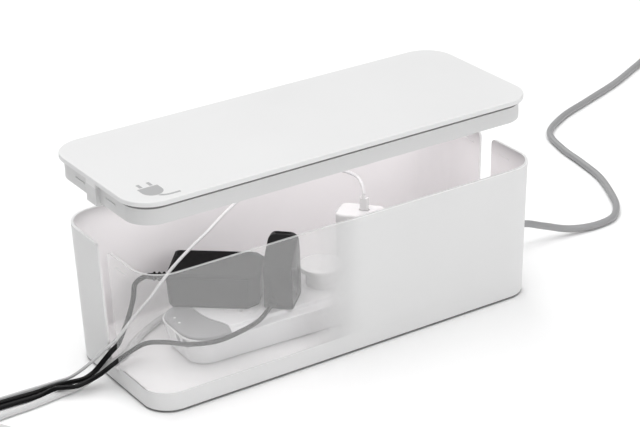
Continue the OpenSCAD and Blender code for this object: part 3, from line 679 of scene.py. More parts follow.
# Plain finishes: colour, roughness, and what else sets each apart
PLAIN = {
    "mark_grey": ((0.42, 0.42, 0.425), 0.5, dict(depth=0.01)),
    "foot_rubber": ((0.06, 0.06, 0.062), 0.75, dict(grain=1200.0, depth=0.05)),
    "strip_plastic": ((0.80, 0.80, 0.81), 0.10,
                      dict(grain=400.0, depth=0.004, spread=0.03, drift=0.015, IOR=1.5,
                           Coat_Weight=0.5, Coat_Roughness=0.04)),
    "socket_plastic": ((0.74, 0.74, 0.75), 0.3, dict(depth=0.01)),
    "frame_plastic": ((0.46, 0.47, 0.48), 0.35, {}),
    "rocker_plastic": ((0.42, 0.03, 0.02), 0.22, dict(depth=0.006)),
    "switch_white": ((0.8, 0.8, 0.8), 0.4, dict(depth=0.006)),
    "black_plastic": ((0.006, 0.006, 0.0062), 0.3,
                      dict(grain=1700.0, depth=0.02, spread=0.06, drift=0.12, Specular_IOR_Level=0.015)),
    "case_black": ((0.009, 0.009, 0.0092), 0.3,
                   dict(grain=1700.0, depth=0.02, spread=0.06, drift=0.12, Specular_IOR_Level=0.06)),
    "panel_plastic": ((0.26, 0.26, 0.265), 0.4, dict(depth=0.01, drift=0.02)),
    "jack_black": ((0.03, 0.03, 0.031), 0.4, dict(depth=0.01)),
    "charger_plastic": ((0.6, 0.6, 0.6), 0.16,
                        dict(grain=600.0, depth=0.004, spread=0.04, drift=0.01, IOR=1.5)),
    "grey_cord": ((0.33, 0.33, 0.335), 0.42, dict(grain=900.0, depth=0.02, spread=0.08, drift=0.06)),
    "black_cord": ((0.0035, 0.0035, 0.0037), 0.17,
                   dict(grain=900.0, depth=0.004, spread=0.03, drift=0.15, Specular_IOR_Level=0.14)),
    "white_cord": ((0.6, 0.6, 0.6), 0.38, dict(grain=900.0, depth=0.015, spread=0.06, drift=0.03)),
    "usb_cord": ((0.55, 0.55, 0.555), 0.32, dict(grain=900.0, depth=0.01, spread=0.05, drift=0.02)),
    "tie_black": ((0.02, 0.02, 0.021), 0.85, dict(grain=2500.0, depth=0.12)),
    "tie_white": ((0.7, 0.7, 0.7), 0.85, dict(grain=2500.0, depth=0.12)),
}
METAL = dict(grain=1500.0, depth=0.01, spread=0.08, drift=0.1, Metallic=1.0)
METALS = {
    "contact_brass": ((0.72, 0.50, 0.18), 0.3, METAL),
    "screw_steel": ((0.55, 0.55, 0.56), 0.35, METAL),
    "blade_steel": ((0.66, 0.64, 0.60), 0.25, METAL),
}
MATS = {name: Finish(name, colour, roughness, **rest).mat
        for name, (colour, roughness, rest) in {**PLAIN, **METALS}.items()}
MATS.update(tub_plastic=tub_plastic_and_painted_light(), lid_plastic=lid_plastic_and_painted_shade(), board_green=board_finish(),
            winding_tape=tape_finish())


def dress(obj, finish, body=BOX, replaces=()):
    """Gives a piece its material, slot and body, and hides the nodes that it stands for."""
    if not obj.data.materials:
        obj.data.materials.append(MATS[finish])
    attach(obj, body)
    if replaces:
        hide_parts(*replaces)
    return obj


# ---------------------------------------------------------------- cords

MAINS_D, WHITE_D, LEAD_A_D, LEAD_B_D, USB_D = 7.0, 6.2, 4.6, 4.2, 2.9

LEAD_A_ROUTE = [(-118, 43, 62), (-134, 56.5, 62), (-145, 58, 57), (-151, 51, 49), (-158, 44, 42),
                (-168, 35, 34), (-180, 22.5, 30.5), (-190, 11, 30.2), (-199, 5.2, 29.4),
                (-208, 4.8, 22.6), (-218, 4.8, 14.8), (-227, 5.6, 11.2), (-235, 9.5, 9.4),
                (-242, 17, 5.8), (-252, 22.8, 2.8), (-264, 23, 2.4), (-300, 25, 2.4),
                (-385, 22, 2.4), (-428, 22, 2.4)]
LEAD_B_ROUTE = [(-57.9, -33.7, 51.5), (-66.5, -41.5, 50.4), (-82, -49.5, 46.5), (-103, -54, 44.5),
                (-128, -55, 43), (-148, -42, 40.5), (-159, -19, 36), (-171, -5, 32.5),
                (-185, -3.4, 28.5), (-198, -4.5, 24.5), (-206, -5, 21.5), (-216, -3.6, 16),
                (-226, -1.2, 11.8), (-236, 0.4, 9.4), (-245.5, 4, 9.4), (-252, 8.4, 8.8),
                (-259, 12.8, 5.4), (-268, 14.8, 3.1), (-300, 17.6, 2.2), (-385, 14.2, 2.2),
                (-428, 14, 2.2)]
USB_ROUTE = [(51, -18, 119), (53, -12, 125.5), (57, 5, 128), (44, 31, 128.5), (0, 43, 127),
             (-35, 38, 123.5), (-62, 29, 118), (-89, 21, 107), (-109, 20, 95.5), (-129, 20, 81),
             (-150, 19, 62), (-170, 17, 48), (-184, 12, 40.5), (-194, 7.4, 37), (-204, 6.4, 33),
             (-217, 8.4, 23.6), (-234, 16.4, 10.6), (-247, 26.5, 4.4), (-262, 31, 2), (-284, 32, 1.9),
             (-318, 33, 1.9), (-352, 34, 1.9)]
WHITE_ROUTE = [(-8, 16, 54), (-14, 32, 50.5), (-24, 46, 39), (-40, 54, 26), (-64, 58, 18.4),
               (-90, 58.5, 18.3), (-115, 55, 18.3), (-140, 44, 18.3), (-164, 28, 18.6),
               (-184, 11.4, 18.6), (-196, 5.6, 18.6), (-203, 5.6, 18.3), (-211, 7.4, 13.4),
               (-219, 9.2, 6.8), (-230, 8.8, 3.6), (-246, 7.4, 3.2), (-262, 5.6, 3.2),
               (-281, 3.6, 3.2), (-304, 3, 3.2), (-328, -0.4, 3.2), (-352, -5, 3.2)]
MAINS_ROUTE = [(150, -8.3, 29.5), (166, -9, 29.5), (184, -6.5, 29), (203, -1, 28), (228, 3, 27),
               (252, 6, 24.5), (277, 5, 15.5), (305, 0, 6.5), (336, -4, 3.6), (360, 0, 3.6),
               (380, 17.6, 3.6), (397, 46, 3.6), (414, 85, 3.6), (423, 125, 3.6), (430, 164, 3.6),
               (446, 206, 3.6), (486, 234, 3.6), (540, 255, 3.6), (600, 278, 3.6), (653, 304, 3.6),
               (700, 327, 3.6), (741, 336, 3.6)]
# Coils: centre, innermost and outermost radius, turns, and the sense seen from above
LEAD_A_COIL = ((-428, 54.8), 17.2, 32.8, 6.5, -1)
LEAD_B_COIL = ((-428, -15.9), 16.1, 29.9, 6.25, 1)
USB_COIL = ((-352, 57), 15, 23, 4.5, -1)
WHITE_COIL = ((-352, -48), 25, 43, 5.5, 1)
MAINS_COIL = ((741, 289.8), 29.8, 46.2, 4.5, -1)
LEAD_A_TAIL = [(-414, 89, 4.8), (-404, 89, 4.6)]
LEAD_B_TAIL = [(-459, -30, 4.8), (-459, -40, 4.6)]
USB_TAIL = [(-342, 81, 3.6), (-334, 81, 3.4)]
WHITE_TAIL = [(-338, -93, 6.5), (-322, -93, 5.5)]
MAINS_TAIL = [(726, 242, 12), (712, 242, 13)]

STEP = 3.0
RISE_TURN = 0.16
TIE_LIFT = 0.5


def between(a, b, u, low, high):
    return a + (b - a) * ((u - low) / (high - low))


def smooth_through(route, step):
    """A centripetal curve through the points of a route, as points about a step apart."""
    pts = [Vector(p) for p in route]
    pts = [2 * pts[0] - pts[1]] + pts + [2 * pts[-1] - pts[-2]]
    line = []
    for p in (pts[i:i + 4] for i in range(len(pts) - 3)):
        t = [0.0]
        for a, b in zip(p[:-1], p[1:]):
            t.append(t[-1] + (b - a).length ** 0.5)
        count = max(2, round((p[2] - p[1]).length / step))
        for k in range(count):
            u = t[1] + (t[2] - t[1]) * k / count
            near = [between(p[i], p[i + 1], u, t[i], t[i + 1]) for i in range(3)]
            wide = [between(near[i], near[i + 1], u, t[i], t[i + 2]) for i in range(2)]
            line.append(between(wide[0], wide[1], u, t[1], t[2]))
    line.append(pts[-2])
    return line


def coil_line(coil, d, start_angle):
    """Two layers of turns: inwards on the surface, up, then outwards on top of them."""
    centre, r_in, r_out, turns, sense = coil
    per_layer = (turns - RISE_TURN) / 2
    low, high = d / 2 + TIE_LIFT, 1.52 * d + TIE_LIFT
    line = []
    count = round(turns * 2 * math.pi * (r_in + r_out) / 2 / STEP)
    for i in range(count + 1):
        t = turns * i / count
        if t < per_layer:
            r, z = r_out - (r_out - r_in) * t / per_layer, low
        elif t < per_layer + RISE_TURN:
            share = (t - per_layer) / RISE_TURN
            ease = share * share * (3 - 2 * share)
            r, z = r_in, low + (high - low) * ease
        else:
            r, z = r_in + (r_out - r_in) * (t - per_layer - RISE_TURN) / per_layer, high
        a = start_angle + sense * 2 * math.pi * t
        line.append(Vector((centre[0] + r * math.cos(a), centre[1] + r * math.sin(a), z)))
    return line


def cord_line(route, coil, tail, d):
    """The whole centreline of a lead: its route, its coil and the tail to what ends it."""
    start = math.atan2(route[-1][1] - coil[0][1], route[-1][0] - coil[0][0])
    turns = coil_line(coil, d, start)
    first = smooth_through(route[:-1] + [tuple(turns[0]), tuple(turns[3])], STEP)
    first = first[:-max(1, round((turns[3] - turns[0]).length / STEP))]
    last = smooth_through([tuple(turns[-4]), tuple(turns[-1])] + tail, STEP)
    last = last[max(1, round((turns[-1] - turns[-4]).length / STEP)) + 1:]
    line = first + turns[1:] + last
    return [Vector((p.x, p.y, max(p.z, d / 2 + 0.05))) for p in line]


def sheath(name, line, d, finish, sides=16):
    return grow(polyline(name, line), SHEATH, Radius=d / 2 * MM, Sides=sides, Material=MATS[finish])


def tie(name, coil, d, angle, finish):
    """A soft strap closed round a coil's turns, with its end lapped over."""
    centre, r_in, r_out = coil[:3]
    thick, width, r, room = 0.45, 7.0, 1.6, 0.35
    half = (r_out - r_in + d) / 2 + room
    top = 2.02 * d + TIE_LIFT + 0.25
    outline = []
    for sx, sz, first in ((1, 1, 0), (-1, 1, 90), (-1, -1, 180), (1, -1, 270)):
        cz = top - r if sz > 0 else r + thick
        outline += [(sx * (half - r), cz, math.cos(a), math.sin(a)) for a in arc(5, first, first + 90)]
    rings = []
    for side, off in ((-width / 2, 0), (width / 2, 0), (width / 2, thick), (-width / 2, thick)):
        rings.append([Vector((cx + (r + off) * nx, side, cz + (r + off) * nz))
                      for cx, cz, nx, nz in outline])
    verts, faces = loft(rings, closed=True)
    middle = (r_in + r_out) / 2
    a = math.radians(angle)
    spot = Matrix.Translation((centre[0] + middle * math.cos(a), centre[1] + middle * math.sin(a), 0))
    place = spot @ Matrix.Rotation(a, 4, "Z")
    band = make(name + "_band", verts, faces, place)
    lap = slab(name + "_lap", 9.0, width, 1.2, top + thick, top + 2 * thick, place)
    piece = join(name, band, lap)
    return dress(soften(piece, 0.15, 2), finish)


def make_cord(name, route, coil, tail, d, finish, nodes, sides=16):
    line = cord_line(route, coil, tail, d)
    return dress(sheath(name, line, d, finish, sides), finish, replaces=nodes), line


CORDS = {
    "mains_sheath": make_cord("mains_sheath", MAINS_ROUTE, MAINS_COIL, MAINS_TAIL, MAINS_D, "grey_cord",
                              ("mains_lead", "mains_coil_turns"), 20),
    "white_sheath": make_cord("white_sheath", WHITE_ROUTE, WHITE_COIL, WHITE_TAIL, WHITE_D,
                              "white_cord", ("white_lead", "white_coil_turns"), 20),
    "brick_sheath": make_cord("brick_sheath", LEAD_A_ROUTE, LEAD_A_COIL, LEAD_A_TAIL, LEAD_A_D,
                              "black_cord", ("brick_lead", "brick_coil_turns")),
    "upright_sheath": make_cord("upright_sheath", LEAD_B_ROUTE, LEAD_B_COIL, LEAD_B_TAIL, LEAD_B_D,
                                "black_cord", ("upright_lead", "upright_coil_turns")),
    "charge_sheath": make_cord("charge_sheath", USB_ROUTE, USB_COIL, USB_TAIL, USB_D, "usb_cord",
                               ("charge_cable", "charge_coil_turns"), 14),
}


# ---------------------------------------------------------------- the box

def wall_r(z, inside=0.0):
    """Corner radius of the tub's wall at a height, a given depth inside its surface."""
    return RIM_R - SLOPE * (RIM_Z - z) - inside


def slot_outline():
    """A cable slot seen from the end, with round shoulders at the rim, as (y, z)."""
    right = [(SLOT_HALF + SLOT_R + SLOT_R * math.cos(a), RIM_Z - SLOT_R + SLOT_R * math.sin(a))
             for a in arc(8, 180, 90)]
    top = RIM_Z + 8
    right = [(SLOT_HALF, FLOOR_Z)] + right + [(right[-1][0], top)]
    return right + [(-y, z) for y, z in reversed(right)]


def snap_ribs(name, x, z, length, height, proud, finish):
    """Two low ribs on each end wall, grown on their middles."""
    spots = [(at, y, z) for at in x for y in (-SNAP_Y, SNAP_Y)]
    return grow(points(name, spots), RIBS, Length=length * MM, Height=height * MM, Proud=proud * MM,
                Material=MATS[finish])


def end_prism(name, outline, x0, x1):
    """A body with an outline in the YZ plane, from x0 to x1."""
    verts, faces = loft([[Vector((x, y, z)) for y, z in outline] for x in (x0, x1)])
    return make(name, verts, faces)


def make_tub():
    fillet_r = 3.0
    low_r = wall_r(FLOOR_Z + fillet_r, WALL) - fillet_r
    profile = [(wall_r(FOOT_H, WALL), UNDER), (wall_r(FOOT_H, WALL), FOOT_H), (wall_r(FOOT_H), FOOT_H),
               (RIM_R, RIM_Z), (RIM_R - WALL, RIM_Z)]
    profile += [(low_r + fillet_r * math.cos(a), FLOOR_Z + fillet_r - fillet_r * math.sin(a))
                for a in arc(5, 0, 90)]
    shell = plan_solid("tub_shell", CORE_L, CORE_W, profile)
    cut(shell, *(end_prism("slot", slot_outline(), x0, x0 + 40) for x0 in (-220, 180)))
    shell = soften(shell, 0.55)
    low, high = UNDER - STIFFENER_H, UNDER + 0.5
    parts = [block("stiffener", x - 1, x + 1, -73, 73, low, high) for x in STIFFENERS_X]
    parts += [block("stiffener", -197, 197, y - 1, y + 1, low, high) for y in STIFFENERS_Y]
    for x, y in FEET:
        place = Matrix.Translation((x, y, 0))
        bore, rim = FOOT_R + 0.1, FOOT_R + 2
        parts.append(lathe("boss", [(bore, FOOT_H), (rim, FOOT_H), (rim, high), (bore, high)], place))
        parts.append(lathe("cup", [(FOOT_R + 1, FOOT_CUP_Z), (FOOT_R + 1, FOOT_CUP_Z + 1.5)], place))
    rib_z = RIM_Z - TUB_SNAP_DROP
    end = wall_r(rib_z, WALL) + CORE_L
    ribs = snap_ribs("tub_ribs", (-end, end), rib_z, 18, 1.8, 0.5, "tub_plastic")
    tub = join("tub_body", shell, *parts, ribs)
    dress(tub, "tub_plastic", replaces=["tub"])


def make_feet():
    feet = grow(points("feet", [(x, y, 0) for x, y in FEET]), DISCS, Radius=FOOT_R * MM,
                Height=FOOT_T * MM, Chamfer=0.5 * MM, Material=MATS["foot_rubber"])
    dress(feet, "foot_rubber", replaces=["rubber_feet"])


def make_lid():
    top, under = LID_Z + LID_T, LID_Z - SKIRT_H
    edge, pocket = 1.0, 1.8
    inner, neck = SKIRT_R - SKIRT_T, SKIRT_R - GROOVE_DEEP
    profile = [(inner, LID_Z + pocket), (inner, under), (SKIRT_R, under), (SKIRT_R, LID_Z - GROOVE_H),
               (neck, LID_Z - GROOVE_H), (neck, LID_Z), (RIM_R, LID_Z)]
    profile += [(RIM_R - edge + edge * math.cos(a), top - edge + edge * math.sin(a))
                for a in arc(5, 0, 90)]
    place = Matrix.Translation((LID_X, 0, 0))
    plate = soften(plan_solid("lid_plate", CORE_L, CORE_W, profile, place), 0.3)
    skirt_x = CORE_L + SKIRT_R
    tabs = [soften(block("tab", *sorted((s * (skirt_x - 2.1), s * TAB_END)), -TAB_HALF, TAB_HALF,
                         LID_Z - TAB_H, LID_Z + 0.5, place), 0.5) for s in (-1, 1)]
    ribs = snap_ribs("lid_ribs", (LID_X - skirt_x, LID_X + skirt_x), LID_Z - LID_SNAP_DROP, 17, 2.2, 0.7,
                     "lid_plastic")
    lid = join("lid_body", plate, *tabs, ribs)
    dress(lid, "lid_plastic", body=LID, replaces=["lid"])


MARK_AT, MARK_T = (-181.5, -53.5), 0.06


def make_lid_mark():
    """A small printed plug on the lid's corner: a round body, two pins and a lead."""
    place = place_at(MARK_AT, 0) @ Matrix.Diagonal((1.25, 1.15, 1, 1))
    z0, z1 = LID_Z + LID_T - 0.03, LID_Z + LID_T + MARK_T
    body = [(7.5 * math.cos(a), -2 + 8.5 * math.sin(a)) for a in arc(20, 180, 360)]
    parts = [prism("mark", body + [(7.5, 5), (-7.5, 5)], z0, z1, place)]
    parts += [block("pin", x - 1.2, x + 1.2, 6.2, 12.5, z0, z1, place) for x in (-3.8, 3.8)]
    outer = [(9.5 + 9.5 * math.cos(a), -11 + 4.5 * math.sin(a)) for a in arc(10, 180, 270)]
    inner = [(9.5 + 6.5 * math.cos(a), -11 + 2.2 * math.sin(a)) for a in arc(10, 270, 180)]
    tail = [(15, -15.5), (15, -13.2)]
    parts.append(prism("lead", outer + tail + inner, z0, z1, place))
    mark = dress(join("lid_mark", *parts), "mark_grey", body=LID)
    mark.data.shade_flat()


make_tub()
make_feet()
make_lid()
make_lid_mark()

# ---------------------------------------------------------------- power strip

STRIP_AT, STRIP_TURN, SOCKET_TURN = (-6.0, -17.0), -2.7, -42.0
STRIP_PLACE = place_at(STRIP_AT, STRIP_TURN, FLOOR_Z)
STRIP_CORE = (117.0, 14.0)
FIELD_CORE = (115.0, 12.0)
PANEL_CORE = (116.0, 12.4)
STRIP_BOTTOM, SPLIT, STRIP_EDGE, STRIP_TOP = 1.0, 10.0, 26.0, 29.0
STRIP_FOOT_R, STRIP_FLARE, STRIP_WALL = 18.0, 6.0, 3.2
# Radius and height of the raised socket field's side, from its foot to its top
FIELD_SIDE = [(16.9, STRIP_EDGE), (16.0, STRIP_EDGE + 0.5), (15.0, STRIP_TOP - 0.9),
              (14.6, STRIP_TOP - 0.3), (14.0, STRIP_TOP)]
SOCKETS = [-72 + 41 * i for i in range(5)]
SOCKET_L, SOCKET_W, SOCKET_PLAY = 31.0, 25.0, 0.4
SLOT_TURN = SOCKET_TURN - STRIP_TURN
ROCKER_X, GLAND_Y, GLAND_Z, GLAND_R = 119.5, 16.0, 14.5, 5.2
SCREWS = [(x, y) for x in (-110.5, 110.5) for y in (-22, 22)]
SCREW_R, SINK_R, POST_R = 1.6, 3.1, 3.5
PEGS = [(-129, -14), (-129, 22), (-119, -25)]
PEG_HALF, PEG_PLAY = 1.5, 0.15
LAMPS_AT = [(-131.6, 14), (-132.2, 3.6)]
JACKS_Y, JACK_Z = (-8.0, -19.6), 20.4
DECK = 44.3
BLADE_GAP = 12.7


def strip_r(z, inside=0.0):
    """Corner radius of the strip's flaring side at a height, a given depth inside its surface."""
    return STRIP_FOOT_R + STRIP_FLARE * (z - STRIP_BOTTOM) / (STRIP_EDGE - STRIP_BOTTOM) - inside


def on_screws(name, profile, sides):
    """A turned body at each of the strip's screws."""
    return [lathe(name, profile, STRIP_PLACE @ Matrix.Translation((x, y, 0)), sides) for x, y in SCREWS]


def gland_cutter():
    place = STRIP_PLACE @ along((126.5, GLAND_Y, GLAND_Z), (1, 0, 0))
    return lathe("gland", [(GLAND_R, 0), (GLAND_R, 24)], place, 32)


def make_strip_base():
    tray_z, round_z, round_r = 3.2, 1.8, 0.8
    profile = [(STRIP_CORE, strip_r(tray_z, STRIP_WALL), tray_z),
               (STRIP_CORE, strip_r(SPLIT, STRIP_WALL), SPLIT),
               (STRIP_CORE, strip_r(SPLIT), SPLIT), (STRIP_CORE, strip_r(round_z), round_z)]
    profile += [(STRIP_CORE, strip_r(round_z) - round_r + round_r * math.cos(a),
                 round_z - round_r * math.sin(a)) for a in arc(3, 20, 90)]
    base = rings_solid("strip_tray", profile, STRIP_PLACE)
    holes = on_screws("hole", [(SCREW_R, -1), (SCREW_R, 6)], 20)
    sinks = on_screws("sink", [(SINK_R, -1), (SINK_R, 2.2)], 24)
    cut(base, *holes, *sinks, gland_cutter())
    base = soften(base, 0.3, 2)
    posts = on_screws("post", [(SCREW_R, 2.4), (POST_R, 2.4), (POST_R, SPLIT), (SCREW_R, SPLIT)], 24)
    dress(join("strip_underside", base, *posts), "strip_plastic",
          replaces=["strip_base"])


def panel_edge(shift):
    """The slanting edge between the end panel and the socket field, as a region to its right."""
    line = fillet([(-101.5, -60), (-101.5, -34.7), (-99.4, -29), (-99.6, -22.5), (-102, -15.5),
                   (-107, -4.5), (-109.4, 6.8), (-109.7, 20), (-109.7, 60)], 12, 3, closed=False)
    return [(p[0] + shift, p[1]) for p in line]


def jack_ring(x, y, half_w, half_h):
    """An upright oval with straight sides round a jack's middle, across the strip's end."""
    rise = half_h - half_w
    top = [(half_w * math.cos(a), rise + half_w * math.sin(a)) for a in arc(8, 0, 180)]
    return [Vector((x, y + dy, JACK_Z + dz)) for dy, dz in top + [(-y, -z) for y, z in top]]


def peg(name, at, half, z0, z1):
    return block(name, at[0] - half, at[0] + half, at[1] - half, at[1] + half, z0, z1, STRIP_PLACE)


def make_strip_cover():
    round_r = 0.9
    top_r = strip_r(STRIP_EDGE - round_r)
    roof_r, roof_z = 20.8, 21.8
    profile = [(STRIP_CORE, roof_r, roof_z), (STRIP_CORE, strip_r(SPLIT, STRIP_WALL), SPLIT),
               (STRIP_CORE, strip_r(SPLIT), SPLIT)]
    profile += [(STRIP_CORE, top_r - round_r + round_r * math.cos(a),
                 STRIP_EDGE - round_r + round_r * math.sin(a)) for a in arc(4, 0, 90)]
    profile += [(FIELD_CORE, r, z) for r, z in FIELD_SIDE]
    cover = rings_solid("strip_shell", profile, STRIP_PLACE)
    tools = [slab("socket", SOCKET_L + SOCKET_PLAY, SOCKET_W + SOCKET_PLAY, 6, 10, 40,
                  STRIP_PLACE @ place_at((x, 0), SLOT_TURN)) for x in SOCKETS]
    tools.append(block("switch", ROCKER_X - 8.2, ROCKER_X + 8.2, -12.4, 12.4, 12, 40, STRIP_PLACE))
    tools.append(block("pocket", -94, 121, -21, 21, 15, STRIP_TOP - 2.2, STRIP_PLACE))
    tools.append(prism("panel_room", panel_edge(0.4) + [(-170, 60), (-170, -60)], STRIP_EDGE - 0.02,
                       40, STRIP_PLACE))
    tools += [peg("peg_hole", at, PEG_HALF + PEG_PLAY, 15, 40) for at in PEGS]
    for y in JACKS_Y:
        verts, faces = loft([jack_ring(x, y, 3.3, 4.3) for x in (-150, -116)])
        tools.append(make("jack_room", verts, faces, STRIP_PLACE))
    cover = soften(cut(cover, *tools, gland_cutter()), 0.4, 2)
    bore, foot, head = 1.45, SPLIT + 0.1, 24
    posts = on_screws("post", [(bore, foot), (POST_R, foot), (POST_R, head), (bore, head)], 24)
    dress(join("strip_top", cover, *posts), "strip_plastic", replaces=["strip_cover"])


def make_end_panel():
    """The grey panel at the strip's left end, its two lamps and the two jacks below it."""
    base, foot = STRIP_EDGE + 0.05, 0.2
    edge_r, round_r, rise = 23.9, 2.2, 2.35
    profile = [(PANEL_CORE, edge_r - 0.1, base), (PANEL_CORE, edge_r, base + foot)]
    profile += [(PANEL_CORE, edge_r - round_r + round_r * math.cos(a), base + foot + rise * math.sin(a))
                for a in arc(5, 15, 90)]
    panel = rings_solid("end_panel", profile, STRIP_PLACE)
    right = prism("right_part", panel_edge(0) + [(200, 60), (200, -60)], 20, 40, STRIP_PLACE)
    holes = [lathe("lamp_hole", [(1.3, 20), (1.3, 40)], STRIP_PLACE @ Matrix.Translation((x, y, 0)), 20)
             for x, y in LAMPS_AT]
    panel = soften(cut(panel, right, *holes), 0.35, 2, angle=40)
    pegs = [peg("peg", at, PEG_HALF, 21, base + 0.6) for at in PEGS]
    dress(join("end_panel", panel, *pegs), "panel_plastic",
          replaces=["strip_end_panel"])
    lamps = grow(points("panel_lights", [STRIP_PLACE @ Vector((x, y, base)) for x, y in LAMPS_AT]),
                 DISCS, Radius=1.2 * MM, Height=2.75 * MM, Chamfer=0.3 * MM,
                 Material=MATS["socket_plastic"])
    dress(lamps, "socket_plastic", replaces=["panel_lamps"])
    face_x, bottom_x, back_x = -137.6, -127.6, -123.6
    hollow, shell = (2.4, 3.4), (3.2, 4.2)
    jacks = []
    for y in JACKS_Y:
        rings = [jack_ring(bottom_x, y, *hollow), jack_ring(face_x, y, *hollow),
                 jack_ring(face_x, y, *shell), jack_ring(back_x, y, *shell)]
        jacks.append(make("jack", *loft(rings), STRIP_PLACE))
    dress(soften(join("jacks", *jacks), 0.2, 2), "jack_black", replaces=["line_jacks"])


def make_inserts():
    """Five socket faces with two slots and a round hole, grown on the sockets' middles."""
    face = slab("socket_face", SOCKET_L, SOCKET_W, 5.8, -9, 0.1)
    slots = [block("slot", s * BLADE_GAP / 2 - 1.1, s * BLADE_GAP / 2 + 1.1, -4, 4, -12, 2)
             for s in (-1, 1)]
    earth = lathe("earth", [(2.6, -12), (2.6, 2)], Matrix.Translation((0, -8, 0)), 28)
    cut(face, *slots, earth)
    face = soften(face, 0.35, 2)
    spots = [STRIP_PLACE @ Vector((x, 0, STRIP_TOP)) for x in SOCKETS]
    faces = grow(points("socket_faces", spots), COPIES, Shape=face, Turn=math.radians(SOCKET_TURN),
                 Material=MATS["socket_plastic"])
    bpy.data.objects.remove(face)
    dress(faces, "socket_plastic", replaces=["socket_inserts"])


def make_switch():
    place = STRIP_PLACE @ Matrix.Translation((ROCKER_X, 0, STRIP_TOP))
    frame_body = join("switch_surround", block("well", -8, 8, -12.2, 12.2, -9, 0.4, place),
                      slab("flange", 17.6, 26, 2, 0.1, 1.3, place))
    cut(frame_body, block("room", -6.5, 6.5, -10.7, 10.7, -7.8, 3, place))
    dress(soften(frame_body, 0.3, 2), "frame_plastic", replaces=["rocker_frame"])
    half, tilt, rise, dip = 9.6, 8.0, 4.6, 1.4
    pivot = STRIP_PLACE @ Matrix.Translation((ROCKER_X, 0, STRIP_TOP - 2))
    turned = pivot @ Matrix.Rotation(math.radians(tilt), 4, "X")
    top = [(half - 2 * half * i / 12, rise - dip * (1 - (1 - i / 6) ** 2)) for i in range(13)]
    outline = top + [(-half, 1), (-5, -3.4), (5, -3.4), (half, 1)]
    verts, faces = loft([[Vector((x, y, z)) for y, z in outline] for x in (-6, 6)])
    body = soften(make("rocker_key", verts, faces, turned), 0.5, 3)
    pins = lathe("pins", [(1.5, -7.6), (1.5, 7.6)], pivot @ along((0, 0, 0), (1, 0, 0)), 28)
    key = join("rocker_key", body, pins)
    dress(key, "rocker_plastic", body=ROCKER, replaces=["rocker"])
    on_mark = block("on_mark", -1.9, 1.9, 6.0, 6.8, 3.72, 3.9, turned)
    rings = [[Vector((r * math.cos(a), -6 + r * math.sin(a), z)) for a in arc(24, 0, 360)[:-1]]
             for r, z in ((2.1, 3.7), (2.1, 3.92), (1.4, 3.92), (1.4, 3.7))]
    verts, faces = loft(rings, closed=True)
    off_mark = make("off_mark", verts, faces, turned)
    dress(join("switch_marks", on_mark, off_mark), "switch_white", body=ROCKER)


def make_relief(name, place, length, r1, r2, bore, count, finish, node, inside=3.0):
    """A tapering sleeve along +Z of its place, with soft collars above the wall."""
    tip = 0.6
    body = lathe(name + "_sleeve",
                 [(bore / 2, length * 0.5), (r1, 0), (r1, 0.1), (r2 + 0.2, length - 1.2 * tip),
                  (r2, length - tip / 2), (r2 - 0.25, length), (bore / 2, length)], place, 32)
    pitch = (length - inside) * 0.85 / count
    ends = [place @ Vector((0, 0, inside + pitch * 0.3)),
            place @ Vector((0, 0, inside + pitch * (count - 0.7)))]
    collars = grow(polyline(name + "_collars", ends), COLLARS, Count=count,
                   Radius=(r1 + 0.3) * MM, Taper=(r1 - r2) / r1 / count, Width=pitch * 0.3 * MM,
                   Material=MATS[finish])
    dress(join(name, body, collars), finish, replaces=[node])


make_strip_base()
make_strip_cover()
make_end_panel()
make_inserts()
make_switch()
make_relief("mains_sleeve", STRIP_PLACE @ along((133, GLAND_Y, GLAND_Z), (1, 0, 0)), 30.3, 5.5, 4.3,
            MAINS_D, 5, "grey_cord", "mains_relief", inside=10)

# ---------------------------------------------------------------- what is plugged in

BRICK_L, BRICK_W, BRICK_RIDGE, BRICK_TOP = 83.0, 54.0, 74.0, 77.0
BRICK_PLACE = place_at((-134, 22), -40)
BRICK_RELIEF = (2.6, 26.5, 62.0)
SEAT = [(3.2, -6), (3.2, 6)]


def brick_outline(t):
    chamfer, nick = 9.0, 2.4
    corners = [(t + nick, t), (BRICK_L - t - chamfer, t), (BRICK_L - t, t + chamfer),
               (BRICK_L - t, BRICK_W - t - chamfer), (BRICK_L - t - chamfer, BRICK_W - t),
               (t + nick, BRICK_W - t), (t, BRICK_W - t - nick), (t, t + nick)]
    return fillet(corners, 2.6)


def make_brick():
    low = fillet([(8, DECK), (2.7, DECK), (1.5, DECK + 3), (0, BRICK_RIDGE - 0.5), (0.5, BRICK_RIDGE)],
                 1.2, closed=False)
    shell = outline_solid("brick_lower", brick_outline,
                          [(p.x, p.y) for p in low] + [(2.4, BRICK_RIDGE), (2.4, BRICK_RIDGE - 12)],
                          BRICK_PLACE)
    cut(shell, lathe("seat", SEAT, BRICK_PLACE @ along(BRICK_RELIEF, (-1, 0, 0)), 24))
    dress(shell, "black_plastic", replaces=["brick_base"])
    high = fillet([(0.5, BRICK_RIDGE + 0.12), (0, BRICK_RIDGE + 0.6), (0.3, BRICK_RIDGE + 1.4),
                   (3.4, BRICK_TOP), (12, BRICK_TOP)], 1.1, closed=False)
    cover = outline_solid("brick_upper", brick_outline,
                          [(2.4, BRICK_RIDGE + 0.12)] + [(p.x, p.y) for p in high], BRICK_PLACE)
    dress(cover, "black_plastic", replaces=["brick_cover"])


UPRIGHT_PLACE = place_at((-64.4, -28.2), -46)
UPRIGHT_W, UPRIGHT_D, UPRIGHT_RIDGE, UPRIGHT_TOP = 26.3, 35.0, 85.0, 106.0
UPRIGHT_SHOULDER = 7.0
UPRIGHT_RELIEF_X, UPRIGHT_RELIEF_Z = 8.5, 51.5


